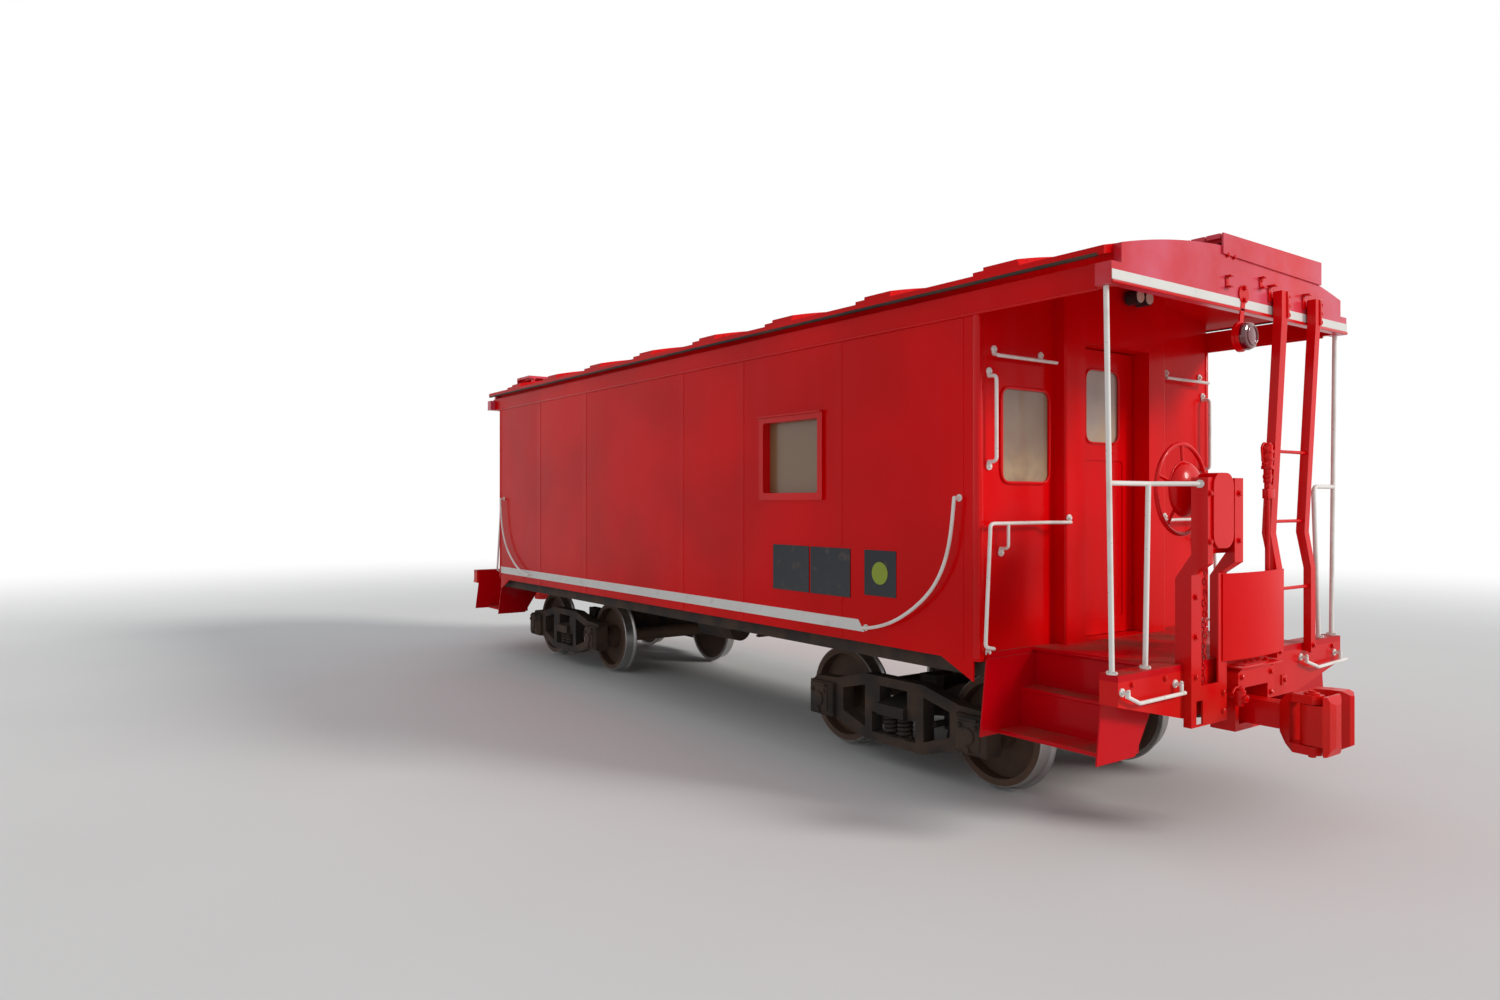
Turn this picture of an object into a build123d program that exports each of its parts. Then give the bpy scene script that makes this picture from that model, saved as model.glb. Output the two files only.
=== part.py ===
"""Railway caboose with one roofed end platform and one open end platform.

Millimetres, +Z up. X runs along the car, with +X at the roofed end, called the front.
-Y is called the left side, as seen by someone who faces the front end. The origin is on
the centreline, half way between the couplers, at the height of the wheel flange tips.
Heights named H_... are above the rail head.
"""
import os
from math import cos, radians, sin

from build123d import *

# Running gear
FLANGE_HEIGHT = 28
WHEEL_RADIUS = 419
WHEEL_WIDTH = 140
BACK_TO_BACK = 1353
AXLE_RADIUS = 82
JOURNAL_RADIUS = 70
JOURNAL_END_Y = 1050
HUB_RADIUS = 137
HUB_PROUD = 15
RIM_DEPTH = 65
# the wheel's plate as its distance from the wheel's back, at the rim and at the hub
PLATE_BACK = (12, 25)
PLATE_FRONT = (48, 62)
# the tread's section as (distance from the wheel's back, height over the tread)
TREAD_SECTION = ((0, 20), (9, 28), (20, 24), (34, 3), (44, 0), (134, -5), (140, -12))
WHEELBASE = 1676
TRUCK_CENTRES = 6100
SIDE_FRAME_Y = 985
SIDE_FRAME_WIDTH = 120
JOURNAL_BOX_SIZE = 290
H_SIDE_FRAME_TOP = 700
H_SIDE_FRAME_BOTTOM = 165
CHORD_HALF = 330
CHORD_DEPTH = 95
SHOULDER = 40
SHOULDER_RISE = (35, 45)
WINDOW_END_X = 600
WINDOW_DROP = 160
BOX_PROUD = 60
LID_CHAMFER = 28
SPRING_SEAT = 70
SPRING_SHELF = 90
BOLSTER_SEAT = 300
COLUMN_TOP = 75
BOLSTER_WIDTH = 300
BOLSTER_END = 40
BOLSTER_YS = (760, 430)
BOLSTER_RISE = (90, 150)
BOLSTER_BELLY = 60
BOWL_DEPTH = 40
SIDE_BEARING_Y = 600
SIDE_BEARING_SIZE = (180, 90)
H_CENTRE_PLATE = 655
CENTRE_PLATE_RADIUS = 165
SPRING_RADIUS = 65
SPRING_BAR = 12
SPRING_TURNS = 4

# Roof: its width and its ridge drive the body under it
ROOF_WIDTH = 3040
H_RIDGE = 3795
ROOF_RISE = 175
ROOF_THICKNESS = 50
CANOPY_FRONT = 1000
CANOPY_REAR = 225
RIB_WIDTH = 380
RIB_HEIGHT = 48
RIB_SPACING = 1170
RIB_COUNT = 8
FIRST_RIB_X = 4435

# Body
BODY_LENGTH = 8550
EAVE_OVERHANG = 70
WALL = 70
H_FLOOR = 1100
FLOOR_THICKNESS = 60
H_SHEET_BOTTOM = 1040
BAND_TOP_DROP = 80
BAND_HEIGHT = 150
BAND_PROUD = 6
CORNER_RADIUS = 45
GUSSET_LENGTH = 295
GUSSET_HEIGHT = 140
GUSSET_THICKNESS = 12

# Canopy end plates and the lateral running boards on them
FASCIA_THICKNESS = 50
FASCIA_INSET = 100
FASCIA_EAVE_RISE = 20
FASCIA_OVER_RIDGE = 5
END_BLOCK_HEIGHT = 130
END_BLOCK_LENGTH = 60
BOARD_FROM_Y = -300
BOARD_TO_Y = 1080
BOARD_RISE = 80
BOARD_LAP = 85
BOARD_DEPTH = 420
BOARD_PLANKS = 4
BOARD_GAP = 12
BOARD_THICKNESS = 30
BOARD_BRACKET_WIDTH = 40

# Platforms, end sills and steps
PLATFORM_LENGTH = 1040
DECK_THICKNESS = 40
SILL_THICKNESS = 125
H_SILL_TOP = 1060
H_SILL_END_BOTTOM = 915
H_SILL_MID_BOTTOM = 760
SILL_END_INSET = 10
SILL_MID_HALF = 750
STRIKER_HALF_OPENING = 150
STRIKER_HALF_WIDTH = 235
STRIKER_DEPTH = 85
H_STRIKER_TOP = 1045
H_STRIKER_ARCH = 900
H_STRIKER_FOOT = 800
CARRIER_DEPTH = 45
STEP_START = 20
STEP_PLATE = 10
TREAD_THICKNESS = 12
NOSING_RADIUS = 16
H_TREADS = (835, 573)
NOSING_YS = (870, 1030, 1265)
H_STEP_BOTTOM = 545
STEP_INNER_YS = (720, 880, 1070)
# top of the cheek plates inside the sill's end, and foot outside it
STEP_INSET = 40
STEP_FLARE = 25

# Underframe
H_CENTRE_SILL_BOTTOM = 690
CENTRE_SILL_HALF = 170
SILL_WEB = 14
SILL_FLANGE = 90
CROSS_BEARER_X = 1130
CROSS_BEARER_WIDTH = 180
BODY_BOLSTER_WIDTH = 330
BODY_BOLSTER_RISE = 60
SIDE_SILL_HEIGHT = 110
SIDE_SILL_WIDTH = 70
POCKET_HALF = 110
POCKET_THICKNESS = 30

# Brake gear under the floor
TANK_RADIUS = 190
TANK_LENGTH = 1500
TANK_Y = 750
TANK_DROP = 300
CYLINDER_RADIUS = 130
CYLINDER_LENGTH = 620
CYLINDER_X = 150
CYLINDER_Y = -700
CYLINDER_DROP = 240
PUSH_ROD_LENGTH = 300
PUSH_ROD_RADIUS = 24
HANGER_WIDTH = 60

# Doors and windows
DOOR_WIDTH = 800
DOOR_HEIGHT = 2160
DOOR_THICKNESS = 45
DOOR_GAP = 8
DOOR_RECESS = 40
DOOR_STILE = 130
DOOR_PANEL_DEPTH = 8
KNOB_RADIUS = 26
H_KNOB = 900
PORCH_HALF_WIDTH = 640
PORCH_PROUD = 100
HINGE_PIN_RADIUS = 7
HINGE_RADIUS = 14
RUNNING_FIT = 0.3
CLEARANCE = 5
DOOR_GLASS = (425, 560)
H_DOOR_GLASS = 2840
SIDE_WINDOW_X = 2247
SIDE_WINDOW = (855, 725)
H_SIDE_WINDOW = 2492
WINDOW_BORDER = 60
WINDOW_LAP = 22
WINDOW_ROUND = 20
LIP_HEIGHT = 12
END_WINDOW_Y = -963
END_WINDOW = (526, 664)
H_END_WINDOW = 2578
WINDOW_CORNER = 70
GASKET = 14
GASKET_PROUD = 7
PANE_THICKNESS = 8
PANE_SET_BACK = 14

# Couplers
COUPLER_FACE_X = 5930
H_COUPLER = 735
HEAD_HEIGHT = 370
KNUCKLE_HEIGHT = 250
KNUCKLE_PIN = 22
KNUCKLE_EYE = 66
KNUCKLE_PIVOT = 125
COUPLER_PIVOT_X = 4960
COUPLER_PIN = 34
SHANK_WIDTH = 130
SHANK_HEIGHT = 165
# plans as (distance behind the face, y), and sides as (distance behind the face, height from the middle)
HEAD_PLAN = ((345, -75), (290, -120), (215, -190), (95, -195), (62, -150), (62, -95), (150, -60), (200, -10),
             (200, 60), (150, 100), (70, 118), (20, 150), (6, 180), (35, 240), (150, 210), (240, 150),
             (345, 75))
HEAD_SIDE = ((345, -95), (290, -155), (215, -185), (60, -185), (0, -150), (0, 150), (60, 185), (215, 185),
             (290, 155), (345, 95))
HEAD_SPACE = ((245, -205), (-60, -205), (-60, 95), (60, 95), (200, 90), (245, 20))
HOOK_PLAN = ((125, -191), (40, -184), (10, -150), (0, -90), (2, -20), (14, 14), (50, 26), (78, 10),
             (86, -30), (104, -62), (150, -68))
NOSE_PLAN = ((38, -182), (10, -150), (0, -90), (2, -20), (14, 14), (38, 24))
NOSE_SIDE = ((38, -185), (22, -185), (0, -130), (0, 130), (22, 185), (38, 185))

# White rails, posts and grab irons
RAIL_RADIUS = 16
CROSS_RAIL_RADIUS = 15
PALM_RADIUS = 25
PALM_THICKNESS = 8
POST_SET_BACK = 55
H_GATE_RAIL = 2230
POST_FOOT_Y = 1418
POST_TOP_INSET = 45
# foot and top of the inner post on the left and on the right
INNER_POST_YS = ((1073, 1039), (1211, 1125))
GRAB_RADIUS = 13
GRAB_STAND_OFF = 70
GRAB_BEND = 26
FLAT_GRAB_YS = (1330, 700)
FLAT_GRAB_LUG_YS = (1250, 735)
H_FLAT_GRAB = 3105
LUG_RISE = 75
LUG_THICKNESS = 10
UPRIGHT_GRAB_Y = 1350
H_UPRIGHT_GRAB = (2390, 2970)
# the stair rail's foot, elbow, upper corner and inner end
STAIR_RAIL_YS = (1360, 1461, 1410, 610)
H_STAIR_RAIL = (1130, 1150, 1972)
STAIR_RAIL_LEAP = (800, 700)
STAIR_BRANCH_Y = 1228
H_STAIR_BRANCH = 1800
STAIR_BRANCH_RADIUS = 11
SIDE_RAIL_STAND_OFF = 55
# distance behind the body's end and height, down the curve from its upper foot
SIDE_RAIL_CURVE = ((165, 2145), (186, 1969), (243, 1727), (362, 1520), (546, 1359), (773, 1234), (942, 1181),
                   (1100, 1156))
# handholds as (distance in from the sill's end, height), the left one and then the right one
HANDHOLD_BARS = (((20, 985), (152, 930), (640, 935)), ((653, 975), (455, 915), (10, 930)))
HANDHOLD_FEET = (((35, 1000), (600, 990)), ((640, 1000), (110, 985)))
HANDHOLD_RADIUS = 12
HANDHOLD_STAND_OFF = 45

# Ladder: Y of each stile's web, and its front face as distance before the end sill at each height
LADDER_YS = (349, 847)
H_RUNGS = (1510, 1980, 2470)
RUNG_RADIUS = 12
STILE_WIDTH = (81, 68)
STILE_DEPTH = 60
STILE_THICKNESS = 9
STILE_REACH = (53, 53, 8, 85, 85)
H_STILE_FOOT = (1040, 1640, 1900)
# how far below the ridge the stiles straighten and end
STILE_TOP_DROP = (415, 225)

# Hand brake: legs stand against the end sill, and the head leans out over a jog
BRAKE_Y = -530
BRAKE_HALF_WIDTH = 212
H_BRAKE = 2200
LEG_BACK = 55
LEG_REACH = 53
HEAD_BACK = 51
HEAD_REACH = 159
H_LEG_FEET = (705, 960)
H_JOG_FRONT = (1660, 1735)
H_JOG_BACK = (1636, 1790)
H_CHEEK_TOP = 2270
CHEEK_THICKNESS = 12
FOOT_HOLE = (75, 150)
LEFT_FLANGE = 60
LEFT_LEG_FLANGE = 117
RIGHT_FLANGE = 103
HOUSING = (238, 470)
HOUSING_CORNER = 85
HOUSING_SHIFT = -45
H_HOUSING = 2065
BRAKE_WHEEL_BACK = 135
BRAKE_WHEEL_RADIUS = 307
BRAKE_RIM_RADIUS = 14
BRAKE_SPOKES = 5
SPOKE_RADIUS = 10
BRAKE_SHAFT_RADIUS = 14
BRAKE_HUB_RADIUS = 38

# Shield, signal pipe, lamps
SHIELD_BOW = 35
SHIELD_THICKNESS = 6
SHIELD_YS = (-380, 430)
H_SHIELD = (1090, 1655)
PIPE_Y = 290
PIPE_RADIUS = 16
H_PIPE = (1150, 2360)
VALVE_RADIUS = 33
VALVE_LENGTH = 150
LAMP_Y = -85
LAMP_DROP = 581
LAMP_RADIUS = 100
LENS_RADIUS = 92
LENS_DEPTH = 70
LAMP_DISC_DEPTH = 20
PADDLE_Y = -30
PADDLE_DROP = 290
PADDLE_RADIUS = 62
PADDLE_WAIST = 50
PADDLE_THICKNESS = 10
FLOODLIGHT_Y = 150
FLOODLIGHT_DROP = 95
FLOODLIGHT_RADIUS = 55
FLOODLIGHT_DEPTH = 95

# Values worked out from the ones above
RAIL = FLANGE_HEIGHT
H_EAVE = H_RIDGE - ROOF_RISE
H_STILE = H_STILE_FOOT + tuple(H_RIDGE - drop for drop in STILE_TOP_DROP)
H_BAND_TOP = H_EAVE - BAND_TOP_DROP
H_BAND_BOTTOM = H_BAND_TOP - BAND_HEIGHT
BODY_END = BODY_LENGTH / 2
ROOF_HALF = ROOF_WIDTH / 2
BODY_HALF = ROOF_HALF - EAVE_OVERHANG
INNER_HALF = BODY_HALF - WALL
FASCIA_HALF_WIDTH = ROOF_HALF - FASCIA_INSET
SILL_HALF_WIDTH = BODY_HALF - SILL_END_INSET
STEP_OUTER_YS = (SILL_HALF_WIDTH - STEP_INSET, SILL_HALF_WIDTH + STEP_FLARE)
FLOOR_Z = RAIL + H_FLOOR
SILL_FACE_X = BODY_END + PLATFORM_LENGTH
SILL_BACK_X = SILL_FACE_X - SILL_THICKNESS
FASCIA_BACK_X = (BODY_END + CANOPY_FRONT, BODY_END + CANOPY_REAR)
ROOF_RADIUS = (ROOF_HALF ** 2 + ROOF_RISE ** 2) / (2 * ROOF_RISE)
AXLE_Z = RAIL + WHEEL_RADIUS
TRUCK_X = TRUCK_CENTRES / 2


def block(x0, x1, y0, y1, z0, z1):
    """A box between two corners."""
    size = (x1 - x0, y1 - y0, z1 - z0)
    return Pos(x0, y0, z0) * Box(*size, align=(Align.MIN, Align.MIN, Align.MIN))


def slab_yz(points, x0, x1):
    """An outline of (y, z) points, as thick as x0 to x1."""
    face = Plane.YZ * make_face(Polyline(*points, close=True))
    return Pos(x0, 0, 0) * extrude(face, x1 - x0, dir=(1, 0, 0))


def slab_xz(points, y0, y1):
    """An outline of (x, z) points, as thick as y0 to y1."""
    wire = Polyline(*[(x, 0, z) for x, z in points], close=True)
    return Pos(0, y0, 0) * extrude(make_face(wire), y1 - y0, dir=(0, 1, 0))


def slab_xy(points, z0, z1):
    """An outline of (x, y) points, as thick as z0 to z1."""
    face = make_face(Polyline(*points, close=True))
    return Pos(0, 0, z0) * extrude(face, z1 - z0, dir=(0, 0, 1))


def tube_along(path, radius):
    """A round bar that follows a wire."""
    return sweep(Plane(origin=path @ 0, z_dir=path % 0) * Circle(radius), path=path)


def bar(points, radius, bend=None):
    """A round bar along straight runs, with bends of one radius."""
    if bend is None or len(points) == 2:
        return tube_along(Polyline(*points), radius)
    return tube_along(FilletPolyline(*points, radius=bend), radius)


def rod(start, axis, length, radius):
    """A straight round rod from start along axis."""
    return extrude(Plane(origin=start, z_dir=axis) * Circle(radius), length)


def frame_opening(centre, size, corner, y_normal, depth):
    """A window-shaped solid with round corners, along Y or X, centred on a point."""
    shape = RectangleRounded(size[0], size[1], corner)
    normal = (0, -1, 0) if y_normal else (1, 0, 0)
    x_dir = (1, 0, 0) if y_normal else (0, 1, 0)
    plane = Plane(origin=centre, x_dir=x_dir, z_dir=normal)
    return extrude(plane * shape, depth / 2, both=True)


def to_rear(part):
    """The same piece at the other end of the car."""
    return Rot(0, 0, 180) * part


def to_right(part):
    """The same piece mirrored to the other side of the car."""
    return mirror(part, about=Plane.XZ)


def roof_band(outer_drop, inner_drop, half_width, x0, x1):
    """The space between two roof curves, drops measured down from the roof's top."""
    centre_z = RAIL + H_RIDGE - ROOF_RADIUS
    ring = Circle(ROOF_RADIUS - outer_drop) - Circle(ROOF_RADIUS - inner_drop)
    ring = Pos(0, centre_z) * ring
    window = Pos(0, RAIL + H_RIDGE) * Rectangle(2 * half_width, ROOF_WIDTH)
    return Pos(x0, 0, 0) * extrude(Plane.YZ * (ring & window), x1 - x0, dir=(1, 0, 0))


def above_ceiling():
    """Everything above the underside of the roof, taken off what stands under it."""
    return roof_band(-H_RIDGE / 4, ROOF_THICKNESS, ROOF_HALF + WALL, -2 * BODY_END, 2 * BODY_END)


def roof():
    """Curved sheet with a raised cap over each of its cross seams."""
    shell = roof_band(0, ROOF_THICKNESS, ROOF_HALF, -FASCIA_BACK_X[1], FASCIA_BACK_X[0])
    cap_half = ROOF_HALF - RIB_HEIGHT
    for index in range(RIB_COUNT):
        middle = FIRST_RIB_X - index * RIB_SPACING
        for inset, top in ((0, RIB_HEIGHT / 2), (RIB_HEIGHT, RIB_HEIGHT)):
            half = RIB_WIDTH / 2 - inset
            shell += roof_band(-top, ROOF_THICKNESS / 2, cap_half - inset, middle - half, middle + half)
    return shell


def side_wall(window_x):
    """Left side: a sheet as thick as the wall, a proud band on top, one window and a gusset at each foot."""
    y_out = -BODY_HALF
    y_in = -INNER_HALF
    bottom = RAIL + H_SHEET_BOTTOM
    sheet = block(-BODY_END, BODY_END, y_out, y_in, bottom, RAIL + H_BAND_BOTTOM)
    corners = [edge for edge in sheet.edges().filter_by(Axis.Z) if edge.center().Y < y_in - 1]
    sheet = fillet(corners, CORNER_RADIUS)
    band = block(-FASCIA_BACK_X[1], FASCIA_BACK_X[0], y_out - BAND_PROUD, y_out + WALL / 2,
                 RAIL + H_BAND_BOTTOM, RAIL + H_BAND_TOP)
    head = block(-BODY_END, BODY_END, y_out + WALL / 2, y_in, RAIL + H_BAND_BOTTOM, RAIL + H_RIDGE)
    hole = frame_opening((window_x, y_out, RAIL + H_SIDE_WINDOW),
                         (SIDE_WINDOW[0] - 2 * WINDOW_LAP, SIDE_WINDOW[1] - 2 * WINDOW_LAP), WINDOW_ROUND,
                         True, 4 * WALL)
    wall = sheet + band + head - hole - above_ceiling()
    corner_x = BODY_END - CORNER_RADIUS
    for end in (-1, 1):
        gusset = [(end * (corner_x - GUSSET_LENGTH), bottom + 1), (end * corner_x, bottom + 1),
                  (end * corner_x, bottom - GUSSET_HEIGHT)]
        wall += slab_xz(gusset, y_out + 1, y_out + 1 + GUSSET_THICKNESS)
    return wall


def end_wall():
    """Front end: a flat wall, a porch box round the doorway and a window on one side."""
    x_out = BODY_END
    x_in = BODY_END - WALL
    top = RAIL + H_RIDGE
    wall = block(x_in, x_out, -INNER_HALF, INNER_HALF, FLOOR_Z, top)
    porch = block(x_in, x_out + PORCH_PROUD, -PORCH_HALF_WIDTH, PORCH_HALF_WIDTH, FLOOR_Z, top)
    porch_edges = [edge for edge in porch.edges().filter_by(Axis.Z) if edge.center().X > x_out]
    porch = fillet(porch_edges, PORCH_PROUD / 5)
    door_top = FLOOR_Z + DOOR_HEIGHT + DOOR_GAP + CLEARANCE
    half = DOOR_WIDTH / 2 + DOOR_GAP
    doorway = block(x_in - WALL, x_out + 2 * PORCH_PROUD, -half, half, FLOOR_Z + CLEARANCE, door_top)
    z = RAIL + H_END_WINDOW
    window = frame_opening((x_out, END_WINDOW_Y, z), END_WINDOW, WINDOW_CORNER, False, 4 * WALL)
    blank = frame_opening((x_out, -END_WINDOW_Y, z), END_WINDOW, WINDOW_CORNER, False, 2 * GASKET_PROUD)
    wall = wall + porch - doorway - window + blank
    return wall - above_ceiling() + hinge_pins()


def hinge_line():
    """X and Y of the door's pin, and the heights of its three hinges."""
    x = BODY_END - DOOR_RECESS - DOOR_THICKNESS - HINGE_RADIUS
    y = DOOR_WIDTH / 2
    bottom = FLOOR_Z + DOOR_HEIGHT / 8
    heights = [bottom + index * DOOR_HEIGHT * 3 / 8 for index in range(3)]
    return x, y, heights


def hinge_pins():
    """Three pins on brackets that carry the door on the inside of the wall."""
    x, y, heights = hinge_line()
    pins = None
    for z in heights:
        seat_radius = HINGE_RADIUS - CLEARANCE
        bracket = block(x - seat_radius, BODY_END - WALL, y + CLEARANCE, y + 4 * HINGE_RADIUS,
                        z - 2 * HINGE_RADIUS, z)
        seat = rod((x, y, z - 2 * HINGE_RADIUS), (0, 0, 1), 2 * HINGE_RADIUS, seat_radius)
        pin = rod((x, y, z - HINGE_RADIUS), (0, 0, 1), 7 * HINGE_RADIUS, HINGE_PIN_RADIUS)
        pins = bracket + seat + pin if pins is None else pins + bracket + seat + pin
    return pins


def door():
    """Panelled door with a round-cornered window, a knob and three hinge eyes."""
    outer = BODY_END - DOOR_RECESS
    inner = outer - DOOR_THICKNESS
    half = DOOR_WIDTH / 2
    bottom = FLOOR_Z + 2 * CLEARANCE
    leaf = block(inner, outer, -half, half, bottom, FLOOR_Z + DOOR_HEIGHT + CLEARANCE)
    panel_top = RAIL + H_DOOR_GLASS - DOOR_GLASS[1] / 2 - DOOR_STILE
    panel_height = panel_top - FLOOR_Z - DOOR_STILE
    panel_size = (DOOR_WIDTH - 2 * DOOR_STILE, panel_height)
    panel = frame_opening((outer, 0, panel_top - panel_height / 2), panel_size,
                          WINDOW_CORNER / 2, False, 2 * DOOR_PANEL_DEPTH)
    glass_hole = frame_opening((outer, 0, RAIL + H_DOOR_GLASS), DOOR_GLASS, WINDOW_CORNER, False, 4 * WALL)
    leaf = leaf - panel - glass_hole
    x, y, heights = hinge_line()
    for z in heights:
        foot = z + RUNNING_FIT
        eye = rod((x, y, foot), (0, 0, 1), 5 * HINGE_RADIUS, HINGE_RADIUS)
        strap = block(x, inner + 1, y - 6 * HINGE_RADIUS, y, foot, foot + 5 * HINGE_RADIUS)
        hole = rod((x, y, z - 1), (0, 0, 1), 9 * HINGE_RADIUS, HINGE_PIN_RADIUS + RUNNING_FIT)
        leaf = leaf + eye + strap - hole
    knob_y = DOOR_STILE / 2 - half
    neck = rod((outer, knob_y, FLOOR_Z + H_KNOB), (1, 0, 0), 2 * KNOB_RADIUS, KNOB_RADIUS / 2)
    return leaf + neck + Pos(outer + 2 * KNOB_RADIUS, knob_y, FLOOR_Z + H_KNOB) * Sphere(KNOB_RADIUS)


def door_pane():
    """The door's glass, as wide as its hole and near the outer face."""
    x = BODY_END - DOOR_RECESS - PANE_SET_BACK
    return frame_opening((x, 0, RAIL + H_DOOR_GLASS), DOOR_GLASS, WINDOW_CORNER, False, PANE_THICKNESS)


def window_frames():
    """A raised frame with a drip lip on each side window and a gasket on each end window."""
    y_out = -BODY_HALF
    z = RAIL + H_SIDE_WINDOW
    centre = (SIDE_WINDOW_X, y_out + WALL / 2, z)
    half = SIDE_WINDOW[0] / 2
    clear = (SIDE_WINDOW[0] - 2 * WINDOW_BORDER, SIDE_WINDOW[1] - 2 * WINDOW_BORDER)
    in_wall = (SIDE_WINDOW[0] - 2 * WINDOW_LAP, SIDE_WINDOW[1] - 2 * WINDOW_LAP)
    body = frame_opening(centre, in_wall, WINDOW_ROUND, True, WALL)
    rim_place = (SIDE_WINDOW_X, y_out - WINDOW_LAP / 2, z)
    rim = frame_opening(rim_place, SIDE_WINDOW, WINDOW_ROUND, True, WINDOW_LAP)
    lip_top = z + SIDE_WINDOW[1] / 2
    lip = block(SIDE_WINDOW_X - half, SIDE_WINDOW_X + half, y_out - 2 * WINDOW_LAP, y_out,
                lip_top - LIP_HEIGHT, lip_top)
    side = body + rim + lip - frame_opening(centre, clear, WINDOW_ROUND, True, 4 * WALL)
    z = RAIL + H_END_WINDOW
    ring = frame_opening((BODY_END - WALL / 2 + GASKET_PROUD, END_WINDOW_Y, z), END_WINDOW, WINDOW_CORNER,
                         False, WALL + 2 * GASKET_PROUD)
    clear = (END_WINDOW[0] - 2 * GASKET, END_WINDOW[1] - 2 * GASKET)
    end = ring - frame_opening((BODY_END, END_WINDOW_Y, z), clear, WINDOW_CORNER - GASKET, False, 4 * WALL)
    return [side, end, to_rear(side), to_rear(end)]


def window_panes():
    """Frosted panes: one deep in each side window and one near the face of each end window."""
    clear = (SIDE_WINDOW[0] - 2 * WINDOW_BORDER, SIDE_WINDOW[1] - 2 * WINDOW_BORDER)
    side = frame_opening((SIDE_WINDOW_X, -INNER_HALF - PANE_THICKNESS, RAIL + H_SIDE_WINDOW), clear,
                         WINDOW_ROUND, True, PANE_THICKNESS)
    clear = (END_WINDOW[0] - 2 * GASKET, END_WINDOW[1] - 2 * GASKET)
    end = frame_opening((BODY_END - PANE_THICKNESS / 2, END_WINDOW_Y, RAIL + H_END_WINDOW), clear,
                        WINDOW_CORNER - GASKET, False, PANE_THICKNESS)
    return [side, end, to_rear(side), to_rear(end)]


def cabin_floor():
    """Floor between the walls, resting on the underframe."""
    end = BODY_END - WALL
    return block(-end, end, -INNER_HALF, INNER_HALF, FLOOR_Z - FLOOR_THICKNESS, FLOOR_Z)


def platform():
    """Front deck: between the steps it is narrow, and beside the end wall it runs under it."""
    x0 = BODY_END - WALL
    deck = block(x0, SILL_BACK_X, -NOSING_YS[0], NOSING_YS[0], FLOOR_Z - DECK_THICKNESS, FLOOR_Z)
    sides = block(x0, BODY_END + STEP_START, -INNER_HALF, INNER_HALF, FLOOR_Z - DECK_THICKNESS, FLOOR_Z)
    edge = block(SILL_BACK_X, SILL_FACE_X, -SILL_HALF_WIDTH, SILL_HALF_WIDTH, RAIL + H_SILL_TOP, FLOOR_Z)
    return deck + sides + edge


def end_sill():
    """Buffer beam, deeper in the middle, with the coupler's striker arch and the carrier under its shank."""
    top = RAIL + H_SILL_TOP
    end_bottom = RAIL + H_SILL_END_BOTTOM
    middle_bottom = RAIL + H_SILL_MID_BOTTOM
    outline = [(-SILL_HALF_WIDTH, top), (-SILL_HALF_WIDTH, end_bottom), (-SILL_MID_HALF, middle_bottom),
               (SILL_MID_HALF, middle_bottom), (SILL_HALF_WIDTH, end_bottom), (SILL_HALF_WIDTH, top)]
    beam = slab_yz(outline, SILL_BACK_X, SILL_FACE_X)
    half = STRIKER_HALF_OPENING
    arch = RAIL + H_STRIKER_ARCH
    notch = block(SILL_BACK_X - 1, SILL_FACE_X + 1, -half, half, RAIL, arch)
    foot = RAIL + H_STRIKER_FOOT
    shoulder = RAIL + H_STRIKER_TOP
    wide = STRIKER_HALF_WIDTH
    casting = [(-wide, foot), (-wide, shoulder - CARRIER_DEPTH), (-half, shoulder), (half, shoulder),
               (wide, shoulder - CARRIER_DEPTH), (wide, foot), (half, foot), (half, arch), (-half, arch),
               (-half, foot)]
    striker = slab_yz(casting, SILL_FACE_X, SILL_FACE_X + STRIKER_DEPTH)
    carrier_z = RAIL + H_COUPLER - SHANK_HEIGHT / 2
    outer = half + CARRIER_DEPTH
    carrier = block(SILL_BACK_X, SILL_FACE_X + CARRIER_DEPTH, -outer, outer, carrier_z - CARRIER_DEPTH,
                    carrier_z - RUNNING_FIT)
    for side in (-1, 1):
        y0, y1 = sorted((side * half, side * outer))
        carrier += block(SILL_BACK_X, SILL_FACE_X + CARRIER_DEPTH, y0, y1, carrier_z - CARRIER_DEPTH, arch)
    return beam - notch + striker + carrier


def steps():
    """Left steps of the front platform: two leaning side plates and a bent stair sheet."""
    x0 = BODY_END + STEP_START
    x1 = SILL_BACK_X
    top = RAIL + H_SILL_TOP
    bottom = RAIL + H_STEP_BOTTOM
    plate = [(-STEP_INNER_YS[0], top), (-STEP_OUTER_YS[0], top), (-STEP_OUTER_YS[1], bottom),
             (-STEP_INNER_YS[2], bottom), (-STEP_INNER_YS[1], RAIL + H_TREADS[0])]
    sides = slab_yz(plate, x0, x0 + STEP_PLATE) + slab_yz(plate, x1 - STEP_PLATE, x1)
    stair = None
    tops = (FLOOR_Z, RAIL + H_TREADS[0], RAIL + H_TREADS[1])
    for index in (1, 2):
        riser_y = -NOSING_YS[index - 1]
        nose_y = -NOSING_YS[index]
        under = tops[index] - TREAD_THICKNESS
        tread = block(x0, x1, nose_y, riser_y, under, tops[index])
        riser = block(x0, x1, riser_y - TREAD_THICKNESS, riser_y, under, tops[index - 1])
        nosing = rod((x0, nose_y, tops[index] - NOSING_RADIUS), (1, 0, 0), x1 - x0, NOSING_RADIUS)
        stair = tread + riser + nosing if stair is None else stair + tread + riser + nosing
    deck_nosing = rod((x0, -NOSING_YS[0] - NOSING_RADIUS, FLOOR_Z - NOSING_RADIUS), (1, 0, 0), x1 - x0,
                      NOSING_RADIUS)
    return sides + stair + deck_nosing


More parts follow.
